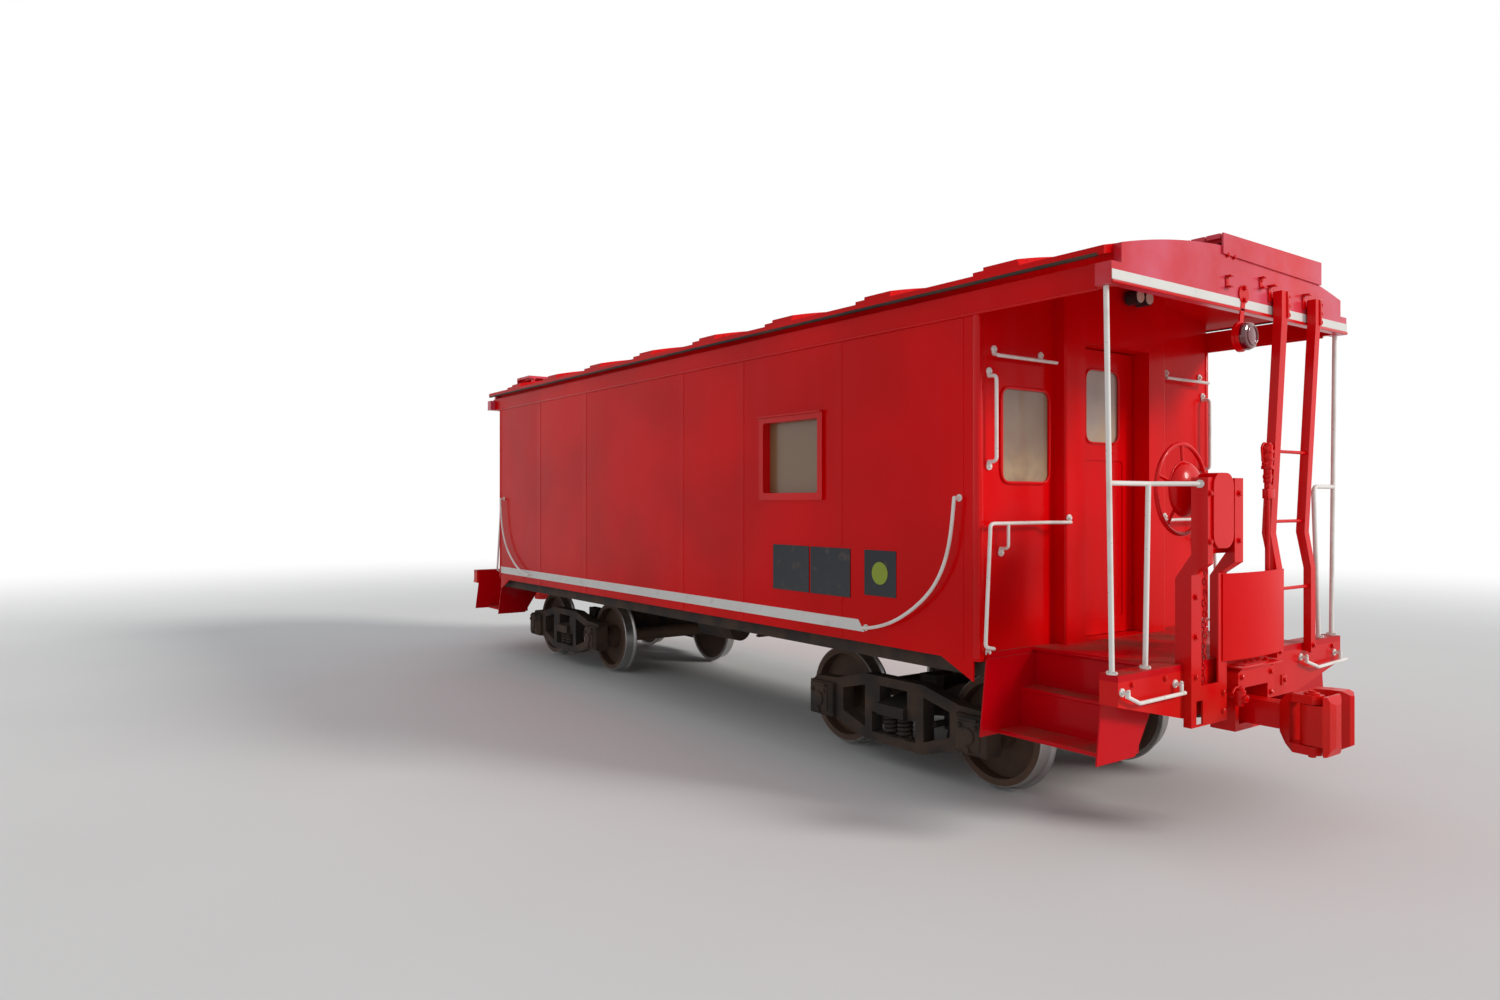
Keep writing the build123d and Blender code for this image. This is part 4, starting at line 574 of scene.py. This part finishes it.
roof_half, roof_rise, roof_crown = 1.52, 0.175, 3.823
roof_radius = (roof_half ** 2 + roof_rise ** 2) / (2 * roof_rise)
cap_count, first_cap, cap_pitch = 8, 4.435, 1.17
cap_half, cap_height = 0.155, 0.0235
screw_count, first_turn, screw_turn = 13, -11.4, 1.9
places = []
for index in range(cap_count):
    for side in (-1, 1):
        for step in range(screw_count):
            angle = math.radians(first_turn + step * screw_turn)
            out = Vector((0.0, math.sin(angle), math.cos(angle)))
            centre = Vector((first_cap - index * cap_pitch + side * cap_half, 0.0, roof_crown - roof_radius))
            places.append((centre + out * (roof_radius + cap_height), out))
settle(scatter(screw_head(0.022, 0.006), places), "roof_screws", steel_red, "carbody")


# Bolts on the ends: hexagon heads hold the ladder, the hand brake, the canopy's cleats and
# the striker casting. Two more on each side go through the end sill.
def bolt_head(width, height):
    """A hexagon head on a round washer."""
    head = prism(6, width, height)
    pick(head, lambda centre, normal: normal.z > 0.9, "FACE")
    bpy.ops.mesh.inset(thickness=width * 0.1, depth=height * 0.15)
    bpy.ops.object.mode_set(mode="OBJECT")
    washer = prism(14, width * 1.44, height * 0.3)
    return join([head, washer])


sill_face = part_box("platform_front")[1].x
canopy_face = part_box("fascia_front")[1].x
stand_low, stand_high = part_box("brake_stand")
foot_face, striker_face, stand_face = sill_face + 0.053, sill_face + 0.085, sill_face + 0.159
ahead, behind, up = (1.0, 0.0, 0.0), (-1.0, 0.0, 0.0), (0.0, 0.0, 1.0)
bolt_width, bolt_height = 0.030, 0.014
striker_y, sill_bolt_ys, sill_bolt_z = 0.193, (1.30, 0.95), 1.062
places = [((foot_face, y, 1.11), ahead) for y in (0.39, 0.885)]
places += [((canopy_face, y, z), ahead) for y, z in ((-0.234, 3.770), (-0.15, 3.768), (0.206, 3.660))]
places += [((canopy_face + 0.010, -0.03, z), ahead) for z in (3.575, 3.495)]
for side in (-1, 1):
    places += [((striker_face, side * striker_y, z), ahead) for z in (0.86, 1.00)]
    places += [((sill_face, side * y, sill_bolt_z), ahead) for y in sill_bolt_ys]
places += [((foot_face, stand_low.y + 0.05, z), ahead) for z in (1.05, 1.30, 1.55)]
for z in (1.90, 2.20):
    places += [((stand_face, stand_high.y - 0.05, z), ahead), ((stand_face, stand_low.y + 0.025, z), ahead)]
places += [((foot_face, stand_high.y - 0.05, z), ahead) for z in (0.80, 0.92)]
bolts = scatter(bolt_head(bolt_width, bolt_height), places)
settle(bolts, "end_bolts_front", steel_red, "carbody")
places = []
for side in (-1, 1):
    places += [((-striker_face, side * striker_y, z), behind) for z in (0.86, 1.00)]
    places += [((-sill_face, side * y, sill_bolt_z), behind) for y in sill_bolt_ys]
bolts = scatter(bolt_head(bolt_width, bolt_height), places)
settle(bolts, "end_bolts_rear", steel_red, "carbody")


# Bolts of the white rails: steel hexagon heads hold every foot of the handholds and of the
# end posts to the sill, painted over with them.
foot_reach, foot_thickness = 0.045, 0.012
foot_x, foot_top, foot_shift = sill_face - 0.055, 1.136, 0.026
places = []
# Y and height above the rail of each handhold's foot
for y, z in ((-1.405, 1.0), (-0.84, 0.99), (0.80, 1.0), (1.33, 0.985)):
    places.append(((sill_face + foot_reach, y, z + rail_top + foot_thickness), up))
    places.append(((-sill_face - foot_reach, -y, z + rail_top + foot_thickness), up))
# Y of each end post's foot
for y in (-1.418, 1.418, -1.073, 1.211):
    for shift in (-foot_shift, foot_shift):
        places.append(((foot_x + shift, y, foot_top), up))
settle(scatter(bolt_head(0.018, 0.009), places), "rail_bolts", white, "carbody")


# Brake chain: welded oval links of round steel hang from the gear housing of the hand brake
# down to the sill, each turned a quarter from the next.
def chain_link(wire, length, width):
    """One oval link that stands along z."""
    bpy.ops.object.select_all(action="DESELECT")
    bpy.ops.mesh.primitive_torus_add(major_segments=20, minor_segments=8, major_radius=(width - wire) / 2,
                                     minor_radius=wire / 2, rotation=(math.radians(90), 0.0, 0.0))
    link = bpy.context.object
    bpy.ops.object.transform_apply(location=True, rotation=True, scale=True)
    stretch = (length - width) / 2
    for sign in (-1, 1):
        pick(link, lambda place: sign * place.z > 0.0005)
        bpy.ops.transform.translate(value=(0.0, 0.0, sign * stretch))
    soften(link, 0.0, 1, 80.0)
    return link


wheel_y = -0.53
link_count, link_pitch, chain_top = 26, 0.034, 1.84
sway, lean = 0.004, 0.0012
quarter_turn, skew = math.pi / 2, 0.35
links = []
seed = chain_link(0.009, 0.050, 0.032)
for index in range(link_count):
    place = (sill_face + 0.028 + sway * math.sin(index * 1.7), wheel_y - lean * index,
             chain_top - index * link_pitch)
    link = seed.copy()
    link.data = seed.data.copy()
    link.matrix_world = Matrix.Translation(place) @ Matrix.Rotation(index % 2 * quarter_turn + skew, 4, "Z")
    bpy.context.collection.objects.link(link)
    links.append(link)
bpy.data.objects.remove(seed)
settle(join(links), "brake_chain", steel_red, "carbody")


# Grab irons on the end walls: round bars whose ends are forged to palms, each with one bolt.
# They take the place of the plainer ones in the CAD model.
def tube(points, radius, bend=0.0, closed=False, sides=12):
    """A round bar along a path, its corners bent and its ends closed."""
    points = [Vector(point) for point in points]
    count = len(points)
    steps = 4
    path = []
    for index, here in enumerate(points):
        if not closed and index in (0, count - 1):
            path.append(here)
            continue
        first = points[index - 1] - here
        second = points[(index + 1) % count] - here
        reach = min(bend, 0.49 * first.length, 0.49 * second.length)
        for step in range(steps + 1 if bend else 1):
            share = step / steps
            into = first.normalized() * reach * (1.0 - share) ** 2
            path.append(here + into + second.normalized() * reach * share ** 2)
    bpy.ops.object.select_all(action="DESELECT")
    bpy.ops.curve.primitive_nurbs_path_add()
    bar = bpy.context.object
    bar.data.splines.clear()
    spline = bar.data.splines.new("POLY")
    spline.points.add(len(path) - 1)
    for point, place in zip(spline.points, path):
        point.co = (*place, 1.0)
    spline.use_cyclic_u = closed
    bar.data.bevel_depth = radius
    bar.data.bevel_resolution = sides // 4 - 1
    bar.data.use_fill_caps = True
    bpy.ops.object.convert(target="MESH")
    bpy.ops.object.mode_set(mode="EDIT")
    bpy.ops.mesh.select_all(action="SELECT")
    bpy.ops.mesh.remove_doubles(threshold=0.00005)
    bpy.ops.mesh.normals_make_consistent(inside=False)
    soften(bar, 0.0, 1, 50.0)
    return bpy.context.object


def forged_palm(y, z, rise, wall=0.0):
    """A palm that lies on the front wall, offset up or down from the bar's end, with its bolt."""
    face = body_end + wall
    plate = soft_slab((face, y - 0.019, z), (face + 0.012, y + 0.019, z + rise), 0.003)
    eye = disc((face, y, z + rise), ahead, 0.026, 0.013, 0.003)
    bolt = scatter(bolt_head(0.026, 0.013), [((face + 0.012, y, z + rise), ahead)])
    return [plate, eye, bolt]


off = body_end + 0.07
bar_radius = 0.013
# the level bar over the window, on two stubs
flat_z = 3.105 + rail_top
stub_z = flat_z + 0.02
irons = [tube([(off, -1.33, flat_z), (off, -0.70, flat_z)], bar_radius)]
for y in (-1.30, -0.80):
    irons.append(tube([(body_end, y, stub_z), (off, y, flat_z)], 0.012))
    irons += forged_palm(y, stub_z, 0.03)
# the upright bar beside the window
upright_y, low, high = -1.35, 2.39 + rail_top, 2.97 + rail_top
irons.append(tube([(body_end, upright_y, low), (off, upright_y, low), (off, upright_y, high),
                   (body_end, upright_y, high)], bar_radius, 0.035))
irons += forged_palm(upright_y, low, -0.032) + forged_palm(upright_y, high, 0.032)
# the stair rail, up from its foot and across under the window to the porch, and its branch
foot_y, end_y = -1.36, -0.61
foot, elbow, top = 1.13 + rail_top, 1.15 + rail_top, 1.972 + rail_top
porch = body_end + porch_depth
irons.append(tube([(body_end, foot_y, foot), (off, foot_y, foot), (off, -1.461, elbow), (off, -1.41, top),
                   (off, -0.80, top), (porch + 0.026, -0.70, top), (porch + 0.026, end_y, top),
                   (porch, end_y, top)], bar_radius, 0.03))
branch_y, branch_z = -1.228, 1.828
branch = [(off, branch_y, top), (off, branch_y, branch_z), (body_end, branch_y, branch_z)]
irons.append(tube(branch, 0.011, 0.026))
irons += forged_palm(foot_y, foot, -0.03) + forged_palm(branch_y, branch_z, -0.03)
irons += forged_palm(end_y, top, 0.03, porch_depth)
left_irons = join(irons)
bpy.ops.object.duplicate()
right_irons = bpy.context.object
right_irons.scale.y = -1.0
bpy.ops.object.transform_apply(location=True, rotation=True, scale=True)
bpy.ops.object.mode_set(mode="EDIT")
bpy.ops.mesh.select_all(action="SELECT")
bpy.ops.mesh.normals_make_consistent(inside=False)
bpy.ops.object.mode_set(mode="OBJECT")
irons = join([left_irons, right_irons])
for piece, end in ((turned(irons), "rear"), (irons, "front")):
    settle(piece, f"forged_grab_irons_{end}", white, "carbody")
    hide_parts(f"grab_irons_{end}")


# Corner posts: a rolled steel bead is welded up each corner of the body, from the sill to the
# letterboard, and painted with the sides.
corner_radius, corner_inset = 0.035, 0.0247
posts = []
for x_side in (-1, 1):
    for y_side in (-1, 1):
        place = (x_side * (body_end - corner_inset), y_side * (side_y - corner_inset), 1.09)
        posts.append(disc(place, up, corner_radius, 2.33, 0.003, 32))
settle(join(posts), "corner_beads", steel_red, "carbody")


# Glazing rubbers: a moulded rubber holds each rounded pane in the end walls and doors. All of
# them were painted over with the walls.
def rubber(x, y, z, width, height, corner):
    """A closed round rim about a pane that faces along x."""
    half_y, half_z = width / 2, height / 2
    signs = ((-1, -1), (1, -1), (1, 1), (-1, 1))
    corners = [(x, y + y_sign * half_y, z + z_sign * half_z) for y_sign, z_sign in signs]
    return tube(corners, 0.010, corner, True, 8)


rims = rubber(body_end + 0.006, -0.963, 2.578 + rail_top, 0.526, 0.664, 0.10)
settle_pair(rims, "wall_rubbers_front", "wall_rubbers_rear", steel_red)
for end, sign in (("front", 1), ("rear", -1)):
    rim = rubber(sign * (body_end - 0.038), 0.0, 2.84 + rail_top, 0.425, 0.560, 0.09)
    settle(rim, f"door_rubber_{end}", steel_red, f"door_{end}")


# Brake wheel's dish: a deep bell of pressed steel in the middle of the wheel, with a rolled
# lip. It turns with the wheel.
hub_x, hub_z = 5.199, 2.228
bell_radius, bell_depth_share = 0.178, 0.48
bpy.ops.object.select_all(action="DESELECT")
bpy.ops.mesh.primitive_uv_sphere_add(segments=56, ring_count=28, radius=bell_radius,
                                     rotation=(0.0, math.radians(90), 0.0), location=(hub_x, wheel_y, hub_z))
bell = bpy.context.object
bell.scale.z = bell_depth_share
bpy.ops.object.transform_apply(location=True, rotation=True, scale=True)
pick(bell, lambda place: True)
bpy.ops.mesh.bisect(plane_co=(hub_x, 0.0, 0.0), plane_no=(-1.0, 0.0, 0.0), use_fill=True, clear_outer=True)
bpy.ops.object.mode_set(mode="OBJECT")
bpy.ops.object.select_all(action="DESELECT")
soften(bell, 0.004, 2, 50.0)
lip = disc((hub_x - 0.004, wheel_y, hub_z), ahead, bell_radius + 0.006, 0.009, 0.004, 56)
settle(join([bell, lip]), "brake_wheel_dish", steel_red, "brake_wheel")


# Ladder top: clip angles bolt both stiles to the canopy's end plate, and small cleats are
# left on the plate from older fittings.
clip_half, clip_reach, tab_width = 0.012, 0.084, 0.046
pieces = []
# Y of each stile's tab and of its clip
for stile_y, clip_y in ((0.349, 0.430), (0.847, 0.915)):
    pieces.append(soft_slab((canopy_face, clip_y - clip_half, 3.415),
                            (canopy_face + clip_reach, clip_y + clip_half, 3.600), 0.003))
    heads = [((canopy_face + 0.062, clip_y + clip_half, z), (0.0, 1.0, 0.0)) for z in (3.439, 3.501, 3.565)]
    pieces.append(scatter(bolt_head(0.034, 0.030), heads))
    pieces.append(soft_slab((canopy_face, stile_y - tab_width, 3.530),
                            (canopy_face + 0.010, stile_y, 3.640), 0.003))
    pieces.append(soft_slab((canopy_face, stile_y - tab_width, 3.628),
                            (canopy_face + 0.050, stile_y + 0.002, 3.640), 0.003))
cleat_half = 0.022
for y, z in ((-0.234, 3.592), (0.206, 3.641)):
    for reach, foot, top in ((0.008, -0.042, 0.042), (0.036, 0.030, 0.040), (0.036, -0.040, -0.030)):
        pieces.append(soft_slab((canopy_face, y - cleat_half, z + foot),
                                (canopy_face + reach, y + cleat_half, z + top), 0.002))
settle(join(pieces), "ladder_clips", steel_red, "carbody")


# Brake valve: a valve of knobbly cast iron is screwed on the riser pipe beside the ladder,
# with hexagon unions, side outlets, a lever and a clamp to the stile.
pipe_x, pipe_y = 5.331, 0.29
pieces = []
# height, radius, depth and sides of each collar, from the foot up
for z, radius, depth, sides in ((2.235, 0.022, 0.040, 6), (2.275, 0.027, 0.030, 20),
                                (2.305, 0.031, 0.030, 6), (2.335, 0.026, 0.035, 20),
                                (2.370, 0.041, 0.024, 6), (2.430, 0.039, 0.016, 24),
                                (2.480, 0.042, 0.020, 6), (2.536, 0.026, 0.016, 6)):
    pieces.append(disc((pipe_x, pipe_y, z), up, radius, depth, 0.004, sides))
# direction in degrees, height, length and radius of each side outlet with its nut
for turn, z, length, radius in ((200, 2.455, 0.062, 0.017), (150, 2.510, 0.070, 0.014),
                                (265, 2.405, 0.052, 0.015)):
    angle = math.radians(turn)
    axis = Vector((math.cos(angle) * -0.35, -abs(math.sin(angle)) - 0.5, 0.0)).normalized()
    start = Vector((pipe_x, pipe_y, z))
    pieces.append(disc(start, axis, radius, length, 0.004, 10))
    pieces.append(disc(start + axis * (length - 0.014), axis, radius * 1.35, 0.012, 0.003, 6))
lever_path = ((-0.02, 2.545), (-0.050, 2.550), (-0.082, 2.520), (-0.066, 2.420))
pieces.append(tube([(pipe_x, pipe_y + y, z) for y, z in lever_path], 0.008, 0.02))
pieces.append(soft_slab((5.315, 0.247, 2.168), (5.356, 0.352, 2.236), 0.004))
settle(join(pieces), "brake_valve", steel_red, "carbody")


# Striker details: a bolted ledge over the coupler with a rib beside it, a bolted patch on the
# sill, and an angle cock with its handle at each end of the car.
ledge_top = 1.067
patch_y, patch_z, patch_half, patch_thickness = 0.546, 0.891, 0.036, 0.009
ledge = soft_slab((sill_face, -0.235, 1.056), (sill_face + 0.112, 0.300, ledge_top), 0.003)
patch = soft_slab((sill_face, patch_y - patch_half, patch_z - patch_half),
                  (sill_face + patch_thickness, patch_y + patch_half, patch_z + patch_half), 0.002)
# the rib's foot tapers back to the sill
rib = slab((sill_face, 0.288, 0.900), (sill_face + 0.060, 0.300, 1.060))
pick(rib, lambda place: place.x > sill_face + 0.01 and place.z < 1.0)
bpy.ops.transform.translate(value=(-0.045, 0.0, 0.0))
soften(rib, 0.002)
cock = Vector((sill_face + 0.100, -0.245, 0.885))
pieces = []
# start from the cock's middle, direction, radius, depth and sides of each collar
for shift, axis, radius, depth, sides in (((0.0, 0.0, -0.062), up, 0.026, 0.030, 8),
                                          ((0.0, 0.0, -0.035), up, 0.034, 0.060, 20),
                                          ((0.0, 0.0, 0.022), up, 0.038, 0.018, 6),
                                          ((0.0, 0.0, 0.040), up, 0.022, 0.026, 12),
                                          ((-0.100, 0.0, 0.0), ahead, 0.021, 0.085, 16),
                                          ((0.0, 0.0, -0.010), ahead, 0.027, 0.050, 6)):
    pieces.append(disc(cock + Vector(shift), axis, radius, depth, 0.003, sides))
handle_path = ((0.0, 0.058), (-0.06, 0.064), (-0.095, 0.030))
pieces.append(tube([cock + Vector((0.0, y, z)) for y, z in handle_path], 0.008, 0.02))
settle_pair(join(pieces), "angle_cock_front", "angle_cock_rear", steel_red)
heads = [((sill_face + 0.030, y, ledge_top), up) for y in (-0.02, 0.06, 0.14, 0.24)]
heads.append(((sill_face + patch_thickness, patch_y, patch_z), ahead))
striker_ledge = join([ledge, patch, rib, scatter(bolt_head(0.026, 0.013), heads)])
settle(striker_ledge, "striker_ledge", steel_red, "carbody")


# Truck fittings: every journal box has a hinged lid with a boss and two bolts. A truss beam
# with two brake shoes hangs inside each axle, and levers and a rod join the pair.
truck_x, half_wheelbase, journal_y = 3.05, 0.838, 1.11
wheel_radius, shoe_gap, shoe_half, shoe_curve = 0.419, 0.009, 0.024, 0.451
beam_z, shoe_y = 0.415, 0.765


def shoe(x, y, z, toward):
    """A brake shoe whose face follows the wheel's tread."""
    block = slab((x - shoe_half, y - 0.040, z - 0.150), (x + shoe_half, y + 0.040, z + 0.150))
    pick(block, lambda place: True)
    bpy.ops.mesh.subdivide(number_cuts=5)
    bpy.ops.object.mode_set(mode="OBJECT")
    for vertex in block.data.vertices:
        rise = vertex.co.z - z
        vertex.co.x += toward * (shoe_curve - math.sqrt(shoe_curve ** 2 - rise ** 2))
    soften(block, 0.004, 1)
    return block


def journal_lid(x, side):
    """The lid of one journal box with its boss, hinge pin, latch and bolts."""
    face = side * journal_y
    outward = (0.0, side, 0.0)
    lid = soft_slab((x - 0.108, face, 0.345), (x + 0.108, face + side * 0.010, 0.560), 0.006)
    boss = disc((x, face + side * 0.008, 0.447), outward, 0.062, 0.016, 0.006, 20)
    hinge_y, hinge_z = face + side * 0.006, 0.566
    hinge = tube([(x - 0.085, hinge_y, hinge_z), (x + 0.085, hinge_y, hinge_z)], 0.015, sides=8)
    latch = soft_slab((x - 0.020, face, 0.330), (x + 0.020, face + side * 0.028, 0.372), 0.005)
    heads = [((x + shift, face + side * 0.010, 0.520), outward) for shift in (-0.075, 0.075)]
    return [lid, boss, hinge, latch, scatter(bolt_head(0.034, 0.016), heads)]


for end, sign in (("front", 1), ("rear", -1)):
    pieces = []
    centre = sign * truck_x
    for side in (-1, 1):
        for axle in (-half_wheelbase, half_wheelbase):
            pieces += journal_lid(centre + axle, side)
    for toward in (-1, 1):
        wheel_x = centre + toward * half_wheelbase
        shoe_x = wheel_x - toward * (wheel_radius + shoe_gap + shoe_half)
        beam_x = shoe_x - toward * 0.044
        truss_x, lever_x = beam_x - toward * 0.120, beam_x - toward * 0.06
        for y in (-shoe_y, shoe_y):
            pieces.append(shoe(shoe_x, y, beam_z, -toward))
            pieces.append(soft_slab((beam_x - 0.030, y - 0.034, 0.355),
                                    (beam_x + 0.030, y + 0.034, 0.475), 0.008))
        pieces.append(tube([(beam_x, -0.940, beam_z), (beam_x, 0.940, beam_z)], 0.027))
        truss = [(beam_x, -0.720, beam_z), (truss_x, 0.0, 0.395), (beam_x, 0.720, beam_z)]
        pieces.append(tube(truss, 0.013, 0.05))
        pieces.append(soft_slab((lever_x - 0.030, -0.012, 0.300), (lever_x + 0.030, 0.012, 0.640), 0.008))
    pieces.append(tube([(centre - 0.330, 0.0, 0.318), (centre + 0.330, 0.0, 0.318)], 0.018))
    settle(join(pieces), f"truck_fittings_{end}", grimy, f"truck_{end}")


# Pipes under the floor: the brake pipe and a signal pipe run from end to end beside the centre
# sill, with branches to the reservoir and the cylinder, and pull rods reach to the trucks.
pipe_y, pipe_z, branch_radius = 0.300, 0.900, 0.014
pieces = []
for side in (1, -1):
    pieces.append(tube([(-5.20, side * 0.245, 0.885), (-4.95, side * pipe_y, pipe_z),
                        (4.95, side * pipe_y, pipe_z), (5.20, side * 0.245, 0.885)], 0.021, 0.10))
pieces.append(tube([(0.30, pipe_y, pipe_z), (0.30, 0.56, pipe_z), (0.30, 0.66, 0.80)], branch_radius, 0.06))
pieces.append(tube([(0.10, -pipe_y, pipe_z), (0.10, -0.62, pipe_z), (0.12, -0.66, 0.84)],
                   branch_radius, 0.06))
pieces.append(tube([(0.45, -0.700, 0.828), (0.86, -0.700, 0.828)], 0.022))
for x, y in ((2.30, -0.42), (-2.30, -0.50)):
    pieces.append(tube([(0.86, y, 0.800), (x, y * 0.9, 0.780)], 0.015))
pieces.append(soft_slab((0.835, -0.78, 0.788), (0.885, -0.36, 0.812), 0.006))
for x in (-4.2, -2.0, -0.9, 1.1, 2.0, 4.2):
    for y in (-pipe_y, pipe_y):
        pieces.append(soft_slab((x - 0.02, y - 0.032, 0.872), (x + 0.02, y + 0.032, 1.040), 0.004))
settle(join(pieces), "floor_pipes", grimy, "carbody")


# Coil springs: each truck rides on pairs of round-bar coils between its side frames and bolster.
# They take the place of the plain stacks in the CAD model.
def wound_coil(x, y, foot, height, radius, wire, turns):
    """A round bar wound upwards from the foot, with its ends closed."""
    bpy.ops.object.select_all(action="DESELECT")
    bpy.ops.mesh.primitive_circle_add(vertices=10, radius=wire, fill_type="NGON",
                                      rotation=(math.radians(90), 0.0, 0.0), location=(radius, 0.0, 0.0))
    coil = bpy.context.object
    bpy.ops.object.transform_apply(location=True, rotation=True, scale=True)
    bpy.ops.object.modifier_add(type="SCREW")
    screw = coil.modifiers[-1]
    screw.iterations = turns
    screw.screw_offset = (height - 2 * wire) / turns
    screw.steps = 20
    screw.render_steps = 20
    screw.use_normal_calculate = True
    bpy.ops.object.modifier_apply(modifier=screw.name)
    bpy.ops.object.mode_set(mode="EDIT")
    bpy.ops.mesh.select_all(action="SELECT")
    bpy.ops.mesh.remove_doubles(threshold=0.0001)
    bpy.ops.mesh.fill_holes(sides=0)
    bpy.ops.mesh.normals_make_consistent(inside=False)
    bpy.ops.object.mode_set(mode="OBJECT")
    coil.location = (x, y, foot + wire)
    bpy.ops.object.transform_apply(location=True, rotation=True, scale=True)
    soften(coil, 0.0, 1, 70.0)
    return coil


seat_radius, seat_thickness = 0.066, 0.008
for end in ("front", "rear"):
    low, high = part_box(f"truck_springs_{end}")
    coils = []
    for shift in (-0.077, 0.077):
        x = (low.x + high.x) / 2 + shift
        for y in (-0.985, 0.985):
            for radius, wire, turns in ((0.050, 0.0145, 4), (0.024, 0.009, 6)):
                coils.append(wound_coil(x, y, low.z, high.z - low.z, radius, wire, turns))
            for foot in (low.z, high.z - seat_thickness):
                coils.append(disc((x, y, foot), up, seat_radius, seat_thickness, 0.002, 32))
    springs = join(coils)
    settle(springs, f"coil_springs_{end}", grimy, f"truck_{end}")
    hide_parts(f"truck_springs_{end}")


# Marker lamps: a deep red pressed glass, nearly black in shade, covers each lamp's lens.
# A ring stands up in its face.
glass_red = Finish("lamp_glass", Roughness=0.06, Coat_Weight=1.0, Coat_Roughness=0.02)
rings = glass_red.noise(4.0, 2.0)
glass_red.paint(Base_Color=glass_red.mix(rings, (0.10, 0.0, 0.004), (0.20, 0.0, 0.010)))
lamp_y, lamp_z = -0.085, 3.242
for end, sign in (("front", 1), ("rear", -1)):
    low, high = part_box(f"marker_lamp_{end}")
    front = high.x if sign == 1 else low.x
    barrel = disc((front - sign * 0.069, sign * lamp_y, lamp_z), (sign, 0.0, 0.0), 0.094, 0.073, 0.030, 48)
    bpy.ops.object.select_all(action="DESELECT")
    bpy.ops.mesh.primitive_torus_add(major_segments=48, minor_segments=8, major_radius=0.062,
                                     minor_radius=0.007, rotation=(0.0, math.radians(90), 0.0),
                                     location=(front + sign * 0.003, sign * lamp_y, lamp_z))
    ring = bpy.context.object
    bpy.ops.object.transform_apply(location=True, rotation=True, scale=True)
    soften(ring, 0.0, 1, 60.0)
    settle(join([barrel, ring]), f"marker_lens_{end}", glass_red, "carbody")


# Floodlight glasses: a round of pale glass, a little mottled, stands on each housing's face.
pale_glass = Finish("pale_glass", Roughness=0.12, Specular_IOR_Level=0.6)
ripple = pale_glass.noise(60.0, 2.0)
pale_glass.paint(Base_Color=pale_glass.mix(ripple, (0.55, 0.50, 0.38), (0.78, 0.74, 0.62)))
low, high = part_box("floodlight")
lamp_inset = 0.055
lenses = [disc((high.x - 0.0005, y, low.z + lamp_inset), ahead, 0.047, 0.008, 0.003, 40, 3)
          for y in (low.y + lamp_inset, high.y - lamp_inset)]
settle(join(lenses), "floodlight_lenses", pale_glass, "carbody")


# Stage: a pale floor that fades to white, a pale sky and one soft lamp that reaches
# the roofed end more than the side.
def background_rays(nodes):
    """1 for the rays that see the white background: from the camera, off metal or through glass."""
    rays = nodes.add("ShaderNodeLightPath", {}, {}, every=True)
    seen = rays["Is Camera Ray"]
    for kind in ("Is Glossy Ray", "Is Transmission Ray"):
        seen = seen.math("MAXIMUM", seen, rays[kind])
    return seen


bpy.ops.object.select_all(action="DESELECT")
bpy.ops.mesh.primitive_plane_add(size=240.0, location=(0.0, 0.0, 0.0))
floor = bpy.context.object
floor.name = "studio_floor"
fade_from, fade_to = 10.0, 28.0
ground = Finish("studio_floor", Roughness=0.9, Specular_IOR_Level=0.1)
ground.paint(Base_Color=ground.mix(ground.noise(0.5, 2.0), (0.70, 0.70, 0.69), (0.74, 0.74, 0.73)))
distance = (ground.x * ground.x + ground.y * ground.y) ** 0.5
glow = ground.add("ShaderNodeEmission", {}, {"Color": (1.0, 1.0, 1.0, 1.0), "Strength": 1.0})
share = distance.between(fade_from, fade_to) * background_rays(ground)
shown = Number(ground, ground.shader.outputs[0])
faded = ground.add("ShaderNodeMixShader", {}, {0: share, 1: shown, 2: glow})
ground.link(ground.tree.nodes["Material Output"].inputs["Surface"], faded)
floor.data.materials.append(ground.material)

sky = bpy.data.worlds.new("studio_sky")
bpy.context.scene.world = sky
sky.use_nodes = True
air = Nodes(sky.node_tree)
fill = air.add("ShaderNodeBackground", {}, {"Color": (0.93, 0.96, 1.0, 1.0), "Strength": 0.58})
backdrop = air.add("ShaderNodeBackground", {}, {"Color": (1.0, 1.0, 1.0, 1.0), "Strength": 1.0})
choice = air.add("ShaderNodeMixShader", {}, {0: background_rays(air), 1: fill, 2: backdrop})
air.link(air.tree.nodes["World Output"].inputs["Surface"], choice)

bpy.ops.object.light_add(type="SUN", location=(9.5, 6.0, 7.0))
key = bpy.context.object
key.name = "key_lamp"
key.data.energy = 1.9
key.data.angle = math.radians(14.0)
key.data.color = (1.0, 0.97, 0.92)
key.rotation_euler = (Vector((0.0, 0.0, 1.5)) - key.location).to_track_quat("-Z", "Y").to_euler()
